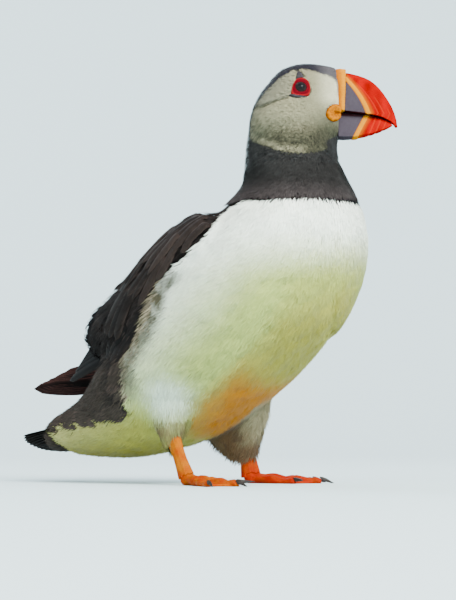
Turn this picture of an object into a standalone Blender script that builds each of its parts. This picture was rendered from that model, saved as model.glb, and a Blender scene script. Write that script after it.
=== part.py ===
"""Atlantic puffin, standing, life size: a still model in solid pieces.

Metres, +Z up. The bird faces -Y and its left side is +X; the head is turned to its left.
The soles stand at z = 0. Rows of the station tables are read along a limb or the body and
joined by smooth curves; the flesh is fused from them and then parted by thin cuts.
"""

import math

import bmesh
import bpy
import numpy as np
from mathutils import Matrix, Vector
from mathutils.bvhtree import BVHTree

GAP = 0.0003                      # clear space between neighbouring pieces

# Head: its own frame is forward, left, up, with the origin between the eyes.
HEAD_TURN = math.radians(37.0)    # the head is turned this far to the bird's left
EYE_CENTRE = Vector((0.0020, -0.0476, 0.2048))
EYE_RADIUS = 0.0042
EYE_SINK = 0.0024                 # centre of the eyeball below the face

# How finely the flesh is fused, and how many triangles each fused piece keeps.
FUSE_SIZE = 0.0018
BODY_TRIANGLES = 2150
FOOT_TRIANGLES = 400

# Cuts that part the flesh: a point and the direction that looks to the head's side.
NECK_TOP_Z = 0.1700
NECK_BASE_Z = 0.1490

# Legs: the joint of each foot on the floor plan, the ankle, and the way the foot points.
LEG_X = 0.0285
FOOT_RIGHT = {"side": -1, "joint": Vector((-LEG_X, 0.0027, 0.0)), "turn": math.radians(10.0),
              "ankle": Vector((-LEG_X, 0.0150, 0.0262))}
FOOT_LEFT = {"side": 1, "joint": Vector((LEG_X, 0.0035, 0.0)), "turn": math.radians(29.0),
             "ankle": Vector((LEG_X, 0.0085, 0.0265))}
TOES = {                          # length, angle from the foot's line (outward +), radius
    "inner": (0.0280, math.radians(-26.0), 0.0021),
    "middle": (0.0380, math.radians(0.0), 0.0023),
    "outer": (0.0360, math.radians(25.0), 0.0022),
}
CLAW_LENGTH = 0.0080
WEB_THICK = 0.0012

# Trunk from the neck to the tail coverts: back point (y, z), belly point (y, z),
# half width, and how square the section is.
TRUNK_ROWS = np.array([
    (-0.0270, 0.1670, -0.0620, 0.1700, 0.0170, 2.0),
    (-0.0200, 0.1565, -0.0715, 0.1590, 0.0262, 2.0),
    (-0.0115, 0.1465, -0.0785, 0.1430, 0.0365, 2.0),
    (0.0020, 0.1380, -0.0797, 0.1190, 0.0440, 2.05),
    (0.0200, 0.1250, -0.0670, 0.0875, 0.0490, 2.1),
    (0.0390, 0.1070, -0.0453, 0.0648, 0.0495, 2.1),
    (0.0560, 0.0880, -0.0175, 0.0436, 0.0470, 2.1),
    (0.0690, 0.0710, 0.0082, 0.0280, 0.0415, 2.1),
    (0.0790, 0.0580, 0.0320, 0.0200, 0.0340, 2.1),
    (0.0900, 0.0480, 0.0565, 0.0152, 0.0262, 2.1),
    (0.1000, 0.0420, 0.0800, 0.0148, 0.0208, 2.1),
    (0.1085, 0.0375, 0.1020, 0.0168, 0.0172, 2.2),
    (0.1150, 0.0325, 0.1190, 0.0190, 0.0135, 2.2),
])

# Head, read from the bill backwards: place along the head, top, bottom, half width,
# height of the widest line.
HEAD_ROWS = np.array([
    (0.0245, 0.0100, -0.0250, 0.0068, -0.0120),
    (0.0200, 0.0114, -0.0262, 0.0084, -0.0125),
    (0.0150, 0.0127, -0.0290, 0.0112, -0.0130),
    (0.0080, 0.0136, -0.0320, 0.0143, -0.0130),
    (0.0000, 0.0138, -0.0345, 0.0170, -0.0130),
    (-0.0060, 0.0122, -0.0355, 0.0186, -0.0135),
    (-0.0120, 0.0087, -0.0360, 0.0192, -0.0145),
    (-0.0180, 0.0030, -0.0350, 0.0182, -0.0160),
    (-0.0225, -0.0038, -0.0330, 0.0153, -0.0180),
    (-0.0252, -0.0110, -0.0300, 0.0105, -0.0200),
    (-0.0262, -0.0160, -0.0260, 0.0050, -0.0210),
])

# Neck in level slices below the head: height, rear and front reach, half width.
NECK_ROWS = np.array([
    (-0.0120, -0.0215, 0.0080, 0.0130),
    (-0.0200, -0.0262, 0.0150, 0.0175),
    (-0.0290, -0.0280, 0.0180, 0.0200),
    (-0.0360, -0.0287, 0.0192, 0.0226),
    (-0.0430, -0.0290, 0.0222, 0.0250),
    (-0.0500, -0.0296, 0.0252, 0.0282),
    (-0.0580, -0.0328, 0.0275, 0.0325),
    (-0.0660, -0.0355, 0.0280, 0.0340),
])

# Folded wing of the right side: upper edge (x, y, z), lower edge (x, y, z), bulge, thickness.
WING_ROWS = np.array([
    (-0.0330, -0.0270, 0.1395, -0.0400, -0.0340, 0.1320, 0.0005, 0.0050),
    (-0.0285, -0.0140, 0.1415, -0.0450, -0.0260, 0.1235, 0.0030, 0.0085),
    (-0.0235, 0.0025, 0.1390, -0.0485, -0.0120, 0.1135, 0.0050, 0.0095),
    (-0.0205, 0.0195, 0.1290, -0.0495, 0.0025, 0.1010, 0.0065, 0.0095),
    (-0.0190, 0.0360, 0.1175, -0.0485, 0.0140, 0.0870, 0.0075, 0.0095),
    (-0.0180, 0.0510, 0.1060, -0.0445, 0.0260, 0.0740, 0.0080, 0.0090),
    (-0.0180, 0.0650, 0.0970, -0.0380, 0.0405, 0.0660, 0.0065, 0.0075),
    (-0.0180, 0.0755, 0.0895, -0.0290, 0.0550, 0.0655, 0.0040, 0.0060),
    (-0.0185, 0.0790, 0.0820, -0.0240, 0.0650, 0.0680, 0.0020, 0.0040),
])
PRIMARY_ROWS = np.array([
    (-0.0195, 0.0640, 0.0880, -0.0300, 0.0520, 0.0690, 0.0030, 0.0052),
    (-0.0190, 0.0720, 0.0800, -0.0260, 0.0610, 0.0650, 0.0025, 0.0045),
    (-0.0180, 0.0800, 0.0720, -0.0225, 0.0700, 0.0615, 0.0018, 0.0036),
    (-0.0172, 0.0870, 0.0645, -0.0195, 0.0800, 0.0585, 0.0010, 0.0026),
    (-0.0170, 0.0935, 0.0570, -0.0175, 0.0915, 0.0555, 0.0002, 0.0012),
])
# The left wing is held looser: it has slid back along the body and its tip lies level.
LEFT_WING_SLIDE = Vector((0.0, 0.0120, -0.0100))
LEFT_PRIMARY_ROWS = np.array([
    (0.0230, 0.0700, 0.0820, 0.0330, 0.0600, 0.0600, 0.0030, 0.0055),
    (0.0180, 0.0850, 0.0715, 0.0230, 0.0800, 0.0520, 0.0025, 0.0048),
    (0.0110, 0.0980, 0.0635, 0.0125, 0.0950, 0.0472, 0.0018, 0.0040),
    (0.0030, 0.1130, 0.0595, 0.0035, 0.1120, 0.0470, 0.0012, 0.0030),
    (-0.0030, 0.1235, 0.0568, -0.0028, 0.1245, 0.0485, 0.0006, 0.0020),
    (-0.0062, 0.1305, 0.0524, -0.0060, 0.1305, 0.0510, 0.0001, 0.0012),
])

# Tail fan: its root, how it spreads, and how far the middle and outer feathers reach.
TAIL_ROOT = Vector((0.0, 0.0940, 0.0305))
TAIL_DROP = math.radians(14.0)
TAIL_ROLL = math.radians(11.5)    # the right edge is lifted
TAIL_SPREAD = math.radians(27.0)
TAIL_MIDDLE = 0.0405
TAIL_OUTER = 0.0355
TAIL_LEFT_LONGER = 0.0075         # the tail is turned a little, so its left side reaches further
TAIL_FEATHERS = 12

# Thighs from inside the body down to the ankle: shift towards the outside, centre (y, z),
# half width, half depth; the left one hangs lower and fuller.
THIGH_RIGHT_ROWS = np.array([
    (-0.0090, 0.0120, 0.0760, 0.0080, 0.0110),
    (-0.0035, 0.0110, 0.0600, 0.0120, 0.0160),
    (-0.0010, 0.0115, 0.0490, 0.0105, 0.0145),
    (0.0000, 0.0135, 0.0395, 0.0080, 0.0110),
    (0.0000, 0.0153, 0.0320, 0.0058, 0.0070),
    (0.0000, 0.0156, 0.0262, 0.0045, 0.0052),
])
THIGH_LEFT_ROWS = np.array([
    (-0.0100, 0.0060, 0.0740, 0.0080, 0.0110),
    (-0.0060, 0.0040, 0.0580, 0.0120, 0.0170),
    (-0.0040, 0.0085, 0.0470, 0.0115, 0.0195),
    (-0.0035, 0.0130, 0.0390, 0.0108, 0.0222),
    (-0.0030, 0.0150, 0.0300, 0.0094, 0.0205),
    (-0.0010, 0.0122, 0.0215, 0.0072, 0.0138),
    (0.0000, 0.0082, 0.0145, 0.0050, 0.0078),
])

# Bill in the head's frame: ridge point (forward, up), mouth point (forward, up),
# half width at the mouth, half width of the ridge.
BILL_UPPER_ROWS = np.array([
    (0.0243, 0.0104, 0.0229, -0.0105, 0.0070, 0.0018),
    (0.0314, 0.0086, 0.0290, -0.0111, 0.0064, 0.0017),
    (0.0367, 0.0063, 0.0345, -0.0117, 0.0057, 0.0016),
    (0.0413, 0.0023, 0.0395, -0.0126, 0.0049, 0.0015),
    (0.0452, -0.0030, 0.0435, -0.0136, 0.0041, 0.0014),
    (0.0479, -0.0076, 0.0463, -0.0149, 0.0032, 0.0012),
    (0.0502, -0.0143, 0.0488, -0.0164, 0.0021, 0.0010),
    (0.0508, -0.0180, 0.0500, -0.0182, 0.0009, 0.0007),
])
BILL_LOWER_ROWS = np.array([
    (0.0200, -0.0108, 0.0198, -0.0240, 0.0071, 0.0024),
    (0.0240, -0.0110, 0.0238, -0.0241, 0.0068, 0.0021),
    (0.0300, -0.0115, 0.0305, -0.0234, 0.0061, 0.0018),
    (0.0355, -0.0121, 0.0365, -0.0221, 0.0054, 0.0015),
    (0.0405, -0.0131, 0.0418, -0.0203, 0.0045, 0.0013),
    (0.0445, -0.0143, 0.0455, -0.0187, 0.0034, 0.0011),
    (0.0475, -0.0160, 0.0480, -0.0173, 0.0018, 0.0008),
])
CERE_ROWS = np.array([
    (0.0197, 0.0113, 0.0199, -0.0104, 0.0080, 0.0026),
    (0.0218, 0.0116, 0.0212, -0.0104, 0.0081, 0.0028),
    (0.0239, 0.0111, 0.0226, -0.0104, 0.0076, 0.0025),
])
FACE_CUT = 0.0194                 # the feathered face stops here, square to the bill
PLATE_UPPER = (((-0.0009, 0.0080), (-0.0003, 0.0080)), ((-0.0024, 0.0050), (0.0018, 0.0049)), 0.0010)
PLATE_LOWER = (((0.0033, -0.0051), (-0.0050, -0.0049)), ((0.0030, -0.0063), (-0.0056, -0.0058)), 0.0010)
ROSETTE_CENTRE = Vector((0.0165, 0.0088, -0.0122))
ROSETTE_RADII = (0.0043, 0.0019, 0.0046)

COLOURS = {
    "white": (0.80, 0.82, 0.76, 1.0), "black": (0.030, 0.028, 0.030, 1.0),
    "face": (0.52, 0.52, 0.46, 1.0), "brown": (0.045, 0.036, 0.032, 1.0),
    "orange": (0.92, 0.26, 0.01, 1.0), "claw": (0.05, 0.04, 0.035, 1.0),
    "red": (0.80, 0.07, 0.02, 1.0), "yellow": (0.80, 0.44, 0.09, 1.0),
    "eye": (0.018, 0.013, 0.012, 1.0), "ring": (0.48, 0.03, 0.015, 1.0),
    "grey": (0.16, 0.17, 0.20, 1.0),
}


# ---------------------------------------------------------------- curves and meshes

def along(rows, count):
    """Rows resampled at `count` even places by a smooth curve through them."""
    steps = np.linalg.norm(np.diff(rows[:, :-1], axis=0), axis=1)
    knots = np.concatenate([[0.0], np.cumsum(np.maximum(steps, 1e-6))])
    slopes = np.gradient(rows, knots, axis=0)
    result = []
    for place in np.linspace(0.0, knots[-1], count):
        k = min(int(np.searchsorted(knots, place, side="right")) - 1, len(knots) - 2)
        span = knots[k + 1] - knots[k]
        t = (place - knots[k]) / span
        a = 2 * t ** 3 - 3 * t ** 2 + 1
        b = t ** 3 - 2 * t ** 2 + t
        c = -2 * t ** 3 + 3 * t ** 2
        d = t ** 3 - t ** 2
        result.append(a * rows[k] + b * span * slopes[k] + c * rows[k + 1] + d * span * slopes[k + 1])
    return np.array(result)


def mesh_object(name, points, faces):
    """A mesh object from points and faces, its faces turned outwards."""
    mesh = bpy.data.meshes.new(name)
    mesh.from_pydata([tuple(p) for p in points], [], faces)
    item = bpy.data.objects.new(name, mesh)
    bpy.context.collection.objects.link(item)
    edit = bmesh.new()
    edit.from_mesh(mesh)
    bmesh.ops.recalc_face_normals(edit, faces=edit.faces)
    edit.to_mesh(mesh)
    edit.free()
    return item


def loft(name, rings):
    """A closed solid through rings of the same number of points, capped at both ends."""
    size = len(rings[0])
    points = [tuple(p) for ring in rings for p in ring]
    faces = []
    for k in range(len(rings) - 1):
        for j in range(size):
            near, far = k * size + j, k * size + (j + 1) % size
            faces.append((near, far, far + size, near + size))
    for start in (0, (len(rings) - 1) * size):
        middle = len(points)
        points.append(tuple(np.mean(np.array(points[start:start + size]), axis=0)))
        for j in range(size):
            faces.append((start + j, start + (j + 1) % size, middle))
    return mesh_object(name, points, faces)


def shell(name, outer, inner):
    """A closed solid between two grids of points of the same size."""
    rows, columns = len(outer), len(outer[0])
    points = [tuple(p) for row in outer for p in row] + [tuple(p) for row in inner for p in row]
    lower = rows * columns
    faces = []
    for i in range(rows - 1):
        for j in range(columns - 1):
            a, b = i * columns + j, i * columns + j + 1
            c, d = b + columns, a + columns
            faces.append((a, b, c, d))
            faces.append((lower + d, lower + c, lower + b, lower + a))
    rim = [j for j in range(columns)]
    rim += [i * columns + columns - 1 for i in range(1, rows)]
    rim += [(rows - 1) * columns + j for j in range(columns - 2, -1, -1)]
    rim += [i * columns for i in range(rows - 2, 0, -1)]
    for k, here in enumerate(rim):
        after = rim[(k + 1) % len(rim)]
        faces.append((here, after, lower + after, lower + here))
    return mesh_object(name, points, faces)


def remove(item):
    bpy.data.objects.remove(item, do_unlink=True)


def applied(item):
    """The item's modifiers worked into its mesh."""
    graph = bpy.context.evaluated_depsgraph_get()
    mesh = bpy.data.meshes.new_from_object(item.evaluated_get(graph))
    item.modifiers.clear()
    item.data = mesh
    return item


def tidied(item):
    """Doubles and slivers merged, triangles only, faces outwards."""
    edit = bmesh.new()
    edit.from_mesh(item.data)
    bmesh.ops.remove_doubles(edit, verts=edit.verts, dist=0.000003)
    bmesh.ops.dissolve_degenerate(edit, edges=edit.edges, dist=0.000002)
    bmesh.ops.triangulate(edit, faces=edit.faces)
    bmesh.ops.recalc_face_normals(edit, faces=edit.faces)
    edit.to_mesh(item.data)
    edit.free()
    return item


def fused(name, items, size, triangles, passes=6):
    """Overlapping solids made one skin, smoothed and brought down to some triangles."""
    points = []
    faces = []
    for item in items:
        start = len(points)
        points += [tuple(v.co) for v in item.data.vertices]
        faces += [tuple(start + k for k in face.vertices) for face in item.data.polygons]
        remove(item)
    whole = mesh_object(name, points, faces)
    remesh = whole.modifiers.new("fuse", "REMESH")
    remesh.mode = "VOXEL"
    remesh.voxel_size = size
    soften = whole.modifiers.new("soften", "SMOOTH")
    soften.factor = 0.5
    soften.iterations = passes
    applied(whole)
    thin = whole.modifiers.new("thin", "DECIMATE")
    thin.ratio = triangles / (2.0 * len(whole.data.polygons))
    thin.use_collapse_triangulate = True
    applied(whole)
    return tidied(whole)


def cut(item, *cutters):
    """The item less each cutter."""
    for cutter in cutters:
        step = item.modifiers.new("cut", "BOOLEAN")
        step.operation = "DIFFERENCE"
        step.solver = "EXACT"
        step.object = cutter
        applied(item)
    return tidied(item)


def inflated(item, amount=GAP):
    """A copy of the item grown by the gap, used only to cut its neighbours."""
    copy = item.copy()
    copy.data = item.data.copy()
    bpy.context.collection.objects.link(copy)
    edit = bmesh.new()
    edit.from_mesh(copy.data)
    bmesh.ops.recalc_face_normals(edit, faces=edit.faces)
    edit.normal_update()
    moved = [v.co + v.normal * amount * max(1.0, min(1.6, v.calc_shell_factor()))
             for v in edit.verts]
    for vertex, place in zip(edit.verts, moved):
        vertex.co = place
    edit.to_mesh(copy.data)
    edit.free()
    return copy


def half(item, name, point, normal):
    """A copy of the part of the item on the side the normal looks to, closed at the cut."""
    copy = item.copy()
    copy.data = item.data.copy()
    copy.name = name
    copy.data.name = name
    bpy.context.collection.objects.link(copy)
    edit = bmesh.new()
    edit.from_mesh(copy.data)
    everything = edit.verts[:] + edit.edges[:] + edit.faces[:]
    bmesh.ops.bisect_plane(edit, geom=everything, dist=0.000001, plane_co=point,
                           plane_no=normal, clear_inner=True)
    rim = [e for e in edit.edges if e.is_boundary]
    bmesh.ops.edgeloop_fill(edit, edges=rim)
    edit.to_mesh(copy.data)
    edit.free()
    return tidied(copy)


def oval(centre, across, upward, half_width, half_up, half_down, power, count):
    """A ring of points: a rounded section that may be deeper below than above."""
    ring = []
    for k in range(count):
        angle = 2 * math.pi * k / count
        c, s = math.cos(angle), math.sin(angle)
        size = (abs(c) ** power + abs(s) ** power) ** (-1.0 / power)
        lift = half_up if s > 0 else half_down
        ring.append(centre + across * (half_width * c * size) + upward * (lift * s * size))
    return ring


# ---------------------------------------------------------------- the head's frame

HEAD_FORWARD = Vector((math.sin(HEAD_TURN), -math.cos(HEAD_TURN), 0.0))
HEAD_LEFT = Vector((math.cos(HEAD_TURN), math.sin(HEAD_TURN), 0.0))
UP = Vector((0.0, 0.0, 1.0))


def in_head(forward, left, up):
    """A point of the head's own frame in the bird's frame."""
    return EYE_CENTRE + HEAD_FORWARD * forward + HEAD_LEFT * left + UP * up


# ---------------------------------------------------------------- flesh

def head_solid():
    rings = []
    for row in along(HEAD_ROWS, 34):
        place, top, bottom, width, widest = row
        rings.append(oval(in_head(place, 0.0, widest), HEAD_LEFT, UP, width,
                          top - widest, widest - bottom, 1.95, 40))
    return loft("head_solid", rings)


def neck_solid():
    rings = []
    for row in along(NECK_ROWS, 24):
        height, rear, front, width = row
        middle = in_head((rear + front) / 2, 0.0, height)
        rings.append(oval(middle, HEAD_LEFT, HEAD_FORWARD, width, (front - rear) / 2,
                          (front - rear) / 2, 2.0, 40))
    return loft("neck_solid", rings)


def trunk_solid():
    rings = []
    for row in along(TRUNK_ROWS, 46):
        back = Vector((0.0, row[0], row[1]))
        belly = Vector((0.0, row[2], row[3]))
        upward = (back - belly).normalized()
        reach = (back - belly).length / 2
        rings.append(oval((back + belly) / 2, Vector((1.0, 0.0, 0.0)), upward, row[4],
                          reach, reach, row[5], 48))
    return loft("trunk_solid", rings)


def thigh(name, leg, rows):
    rings = []
    for shift, y, z, width, depth in along(rows, 11):
        centre = Vector((leg["joint"].x + leg["side"] * shift, y, z))
        rings.append(oval(centre, Vector((1.0, 0.0, 0.0)), Vector((0.0, 1.0, 0.0)),
                          width, depth, depth, 2.0, 14))
    return tidied(loft(name, rings))


# ---------------------------------------------------------------- wings and tail

def blade(name, rows, along_count, across_count):
    """A curved slab between an upper and a lower edge, bulging outwards."""
    table = along(rows, along_count)
    outward_side = 1.0 if rows[0][0] + rows[0][3] > 0 else -1.0
    outer, inner = [], []
    for k, row in enumerate(table):
        upper, lower = Vector(row[0:3]), Vector(row[3:6])
        before = table[max(k - 1, 0)]
        after = table[min(k + 1, len(table) - 1)]
        run = Vector((after[0:3] + after[3:6]) - (before[0:3] + before[3:6]))
        outward = (lower - upper).cross(run).normalized()
        if outward.x * outward_side < 0:
            outward = -outward
        row_out, row_in = [], []
        for j in range(across_count):
            t = j / (across_count - 1)
            place = upper.lerp(lower, t)
            arch = 4.0 * t * (1.0 - t)
            thick = row[7] * (0.18 + 0.82 * math.sqrt(max(arch, 0.0)))
            row_out.append(place + outward * (row[6] * arch + 0.5 * thick))
            row_in.append(place + outward * (row[6] * arch - 0.5 * thick))
        outer.append(row_out)
        inner.append(row_in)
    return tidied(shell(name, outer, inner))


def mirrored(rows, slide):
    table = rows.copy()
    for start in (0, 3):
        table[:, start] = -table[:, start] + slide.x
        table[:, start + 1] += slide.y
        table[:, start + 2] += slide.z
    return table


def tail_fan():
    """Overlapping tail feathers as one fan with rounded tips, arched from side to side."""
    across, deep = TAIL_FEATHERS * 2 + 1, 4
    outer, inner = [], []
    for i in range(deep):
        out = i / (deep - 1)
        row_out, row_in = [], []
        for j in range(across):
            side = 2.0 * j / (across - 1) - 1.0
            angle = side * TAIL_SPREAD
            reach = TAIL_OUTER + (TAIL_MIDDLE - TAIL_OUTER) * (1.0 - side * side)
            notch = abs(math.sin(math.pi * TAIL_FEATHERS * (side + 1.0) / 2.0))
            reach += TAIL_LEFT_LONGER * max(side, 0.0)
            reach -= 0.0016 * (1.0 - notch) ** 1.5
            run = reach * out
            x = run * math.sin(angle) + side * 0.0085 * (1.0 - 0.6 * out)
            y = run * math.cos(angle)
            drop = -y * math.tan(TAIL_DROP) - x * math.tan(TAIL_ROLL) - 0.0020 * side * side
            place = TAIL_ROOT + Vector((x, y, drop))
            thick = 0.0060 - 0.0049 * out
            row_out.append(place + UP * (0.5 * thick))
            row_in.append(place - UP * (0.5 * thick))
        outer.append(row_out)
        inner.append(row_in)
    return tidied(shell("tail", outer, inner))


# ---------------------------------------------------------------- legs

def foot_frame(leg):
    """Forward and outward directions of a foot on the floor."""
    turn = leg["turn"] * leg["side"]
    forward = Vector((math.sin(turn), -math.cos(turn), 0.0))
    outward = Vector((math.cos(turn), math.sin(turn), 0.0)) * leg["side"]
    return forward, outward


def toe_line(leg, toe):
    """Start, direction and length of a toe on the floor plan."""
    forward, outward = foot_frame(leg)
    length, angle, _ = TOES[toe]
    return leg["joint"], (forward * math.cos(angle) + outward * math.sin(angle)), length


def toe_solid(leg, toe):
    start, way, length = toe_line(leg, toe)
    across = way.cross(UP)
    radius = TOES[toe][2]
    rings = []
    for k in range(15):
        t = k / 14
        bump = 0.00035 * math.cos(2 * math.pi * (3.0 if toe != "inner" else 2.0) * t)
        size = radius * (1.22 - 0.42 * t) + bump
        if k == 14:
            size *= 0.7
        height = size * 0.92 + 0.0016 * (1.0 - t) ** 3
        rings.append(oval(start + way * (length * t) + UP * height, across, UP,
                          size, size, size, 2.0, 12))
    return loft("toe", rings)


def web_solid(leg):
    """Two thin webs between the toes, hollowed at their free edges."""
    names = ("inner", "middle", "outer")
    outer, inner = [], []
    edge = []
    for first, second in zip(names[:-1], names[1:]):
        start, way_a, length_a = toe_line(leg, first)
        _, way_b, length_b = toe_line(leg, second)
        for k in range(7):
            t = k / 6
            if k == 0 and edge:
                continue
            way = way_a.lerp(way_b, t)
            reach = length_a * (1 - t) + length_b * t
            reach *= 0.97 - 0.13 * math.sin(math.pi * t)
            edge.append(start + way * reach)
    start = leg["joint"]
    for i in range(6):
        out = 0.06 + 0.94 * i / 5
        row_out, row_in = [], []
        for point in edge:
            place = start.lerp(point, out)
            row_out.append(place + UP * (0.0008 + WEB_THICK / 2 + 0.0016 * (1 - out)))
            row_in.append(place + UP * (0.0008 - WEB_THICK / 2))
        outer.append(row_out)
        inner.append(row_in)
    return shell("web", outer, inner)


def foot(name, leg):
    knob = []
    for k in range(8):
        t = k / 7
        size = 0.0042 * math.sqrt(max(1.0 - (2 * t - 1) ** 2, 0.02))
        knob.append(oval(leg["joint"] + UP * (-0.0004 + 0.0078 * t), Vector((1, 0, 0)),
                         Vector((0, 1, 0)), size * 0.95, size, size, 2.0, 14))
    parts = [toe_solid(leg, toe) for toe in TOES] + [web_solid(leg), loft("knob", knob)]
    whole = fused(name, parts, 0.00045, FOOT_TRIANGLES, passes=2)
    sole = half(whole, name, Vector((0, 0, 0.00025)), Vector((0, 0, 1)))
    remove(whole)
    for vertex in sole.data.vertices:
        vertex.co.z -= 0.00025
    sole.name = name
    return sole


def claw(name, leg, toe):
    """A tapering claw off the end of a toe: bent down, or bent sideways on the inner toe."""
    start, way, length = toe_line(leg, toe)
    _, outward = foot_frame(leg)
    radius = TOES[toe][2] * 0.66
    base = start + way * (length - 0.0008) + UP * (radius + 0.0008)
    lying = toe == "inner"
    bend = -outward if lying else -UP
    rings = []
    for k in range(6):
        t = k / 5
        size = radius * (1.0 - 0.86 * t ** 1.2)
        turn = t * math.radians(62.0 if lying else 34.0)
        run = CLAW_LENGTH * t
        centre = base + way * (run * math.cos(turn * 0.6)) + bend * (run * math.sin(turn * 0.6))
        heading = (way * math.cos(turn) + bend * math.sin(turn)).normalized()
        across = heading.cross(UP).normalized()
        lift = across.cross(heading).normalized()
        centre.z = max(centre.z, size + 0.0001)
        rings.append(oval(centre, across, lift, size * 0.85, size, size * 0.9, 2.0, 7))
    return tidied(loft(name, rings))


def tarsus(name, leg):
    """The bare shank: narrow from side to side, deep from front to back."""
    top, bottom = leg["ankle"] + Vector((0, 0.0004, 0.0040)), leg["joint"] + UP * 0.0030
    forward, outward = foot_frame(leg)
    rows = np.array([(0.0, 0.0036, 0.0046), (0.16, 0.0039, 0.0056), (0.34, 0.0032, 0.0046),
                     (0.60, 0.0029, 0.0043), (0.82, 0.0034, 0.0051), (1.0, 0.0042, 0.0058)])
    rings = []
    for k in range(8):
        t = k / 7
        width = float(np.interp(t, rows[:, 0], rows[:, 1]))
        depth = float(np.interp(t, rows[:, 0], rows[:, 2]))
        rings.append(oval(top.lerp(bottom, t), outward, forward, width, depth, depth, 2.0, 10))
    return tidied(loft(name, rings))


# ---------------------------------------------------------------- bill and eyes

def bill_ring(row, steps=6):
    """A section of the bill: broad at the mouth, narrow at the ridge."""
    ridge = in_head(row[0], 0.0, row[1])
    mouth = in_head(row[2], 0.0, row[3])
    right, left = [], []
    for k in range(steps + 1):
        t = k / steps
        width = row[5] + (row[4] - row[5]) * t ** 0.72
        if k == 0:
            width = row[5] * 0.55
        place = ridge.lerp(mouth, max(t - 0.02, 0.0) if k else 0.0)
        right.append(place - HEAD_LEFT * width)
        left.append(place + HEAD_LEFT * width)
    return right + left[::-1]


def bill_piece(name, rows, count):
    return tidied(loft(name, [bill_ring(row) for row in along(rows, count)]))


def ball(name, centre, axes, radii, rings=10, sides=16):
    """An ellipsoid with its poles on the first axis."""
    circles = []
    for k in range(1, rings):
        polar = math.pi * k / rings
        middle = centre + axes[0] * (radii[0] * math.cos(polar))
        circles.append([middle
                        + axes[1] * (radii[1] * math.sin(polar) * math.cos(2 * math.pi * j / sides))
                        + axes[2] * (radii[2] * math.sin(polar) * math.sin(2 * math.pi * j / sides))
                        for j in range(sides)])
    return tidied(loft(name, circles))


def face_depth(tree, side, forward, up):
    """Half width of the head at a place on its side."""
    start = in_head(forward, side * 0.05, up)
    hit = tree.ray_cast(start, -HEAD_LEFT * side)[0]
    return (hit - EYE_CENTRE).dot(HEAD_LEFT) * side


def eye_ring(name, tree, side):
    """The bare ring round the eye, lying on the face: narrower above and flat below."""
    turns, around = 14, 6
    points = []
    for k in range(turns):
        angle = 2 * math.pi * k / turns
        c, s = math.cos(angle), math.sin(angle)
        forward = 0.0035 * c * (1.0 - 0.16 * s)
        up = 0.0039 * s if s > 0 else 0.0040 * s * (1.0 - 0.10 * abs(c))
        for j in range(around):
            turn = 2 * math.pi * (j + 0.5) / around
            a, b = forward + 0.00085 * math.cos(turn) * c, up + 0.00085 * math.cos(turn) * s
            depth = face_depth(tree, side, a, b) + GAP + 0.0001 + 0.0008 * (1.0 + math.sin(turn))
            points.append(in_head(a, side * depth, b))
    faces = []
    for k in range(turns):
        for j in range(around):
            a, b = k * around + j, k * around + (j + 1) % around
            shift = ((k + 1) % turns - k) * around
            faces.append((a, b, b + shift, a + shift))
    return tidied(mesh_object(name, points, faces))


def face_plate(name, tree, side, upper_edge, lower_edge, thick, count=5):
    """A small horny plate lying on the face between two edges (forward, up)."""
    outer, inner = [], []
    for k in range(count):
        t = k / (count - 1)
        row_out, row_in = [], []
        for edge in (upper_edge, lower_edge):
            forward = edge[0][0] + (edge[1][0] - edge[0][0]) * t
            up = edge[0][1] + (edge[1][1] - edge[0][1]) * t
            depth = face_depth(tree, side, forward, up) + GAP + 0.0001
            row_in.append(in_head(forward, side * depth, up))
            row_out.append(in_head(forward, side * (depth + thick), up))
        outer.append(row_out)
        inner.append(row_in)
    return tidied(shell(name, outer, inner))


# ---------------------------------------------------------------- building

def material(item, colour, roughness, metallic=0.0):
    paint = bpy.data.materials.new(item.name + "_paint")
    paint.use_nodes = True
    shader = paint.node_tree.nodes["Principled BSDF"]
    shader.inputs["Base Color"].default_value = COLOURS[colour]
    shader.inputs["Roughness"].default_value = roughness
    shader.inputs["Metallic"].default_value = metallic
    item.data.materials.clear()
    item.data.materials.append(paint)


def build_body():
    whole = fused("body", [head_solid(), neck_solid(), trunk_solid()], FUSE_SIZE,
                  BODY_TRIANGLES, passes=8)
    top = Vector((0, 0, NECK_TOP_Z))
    base = Vector((0, 0, NECK_BASE_Z))
    step = Vector((0, 0, GAP / 2))
    head = half(whole, "head_rough", top + step, UP)
    below = half(whole, "below", top - step, -UP)
    neck = half(below, "neck", base + step, UP)
    trunk = half(below, "trunk", base - step, -UP)
    cut_face = half(head, "head", in_head(FACE_CUT, 0.0, 0.0), -HEAD_FORWARD)
    for item in (whole, below, head):
        remove(item)
    return cut_face, neck, trunk


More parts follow.
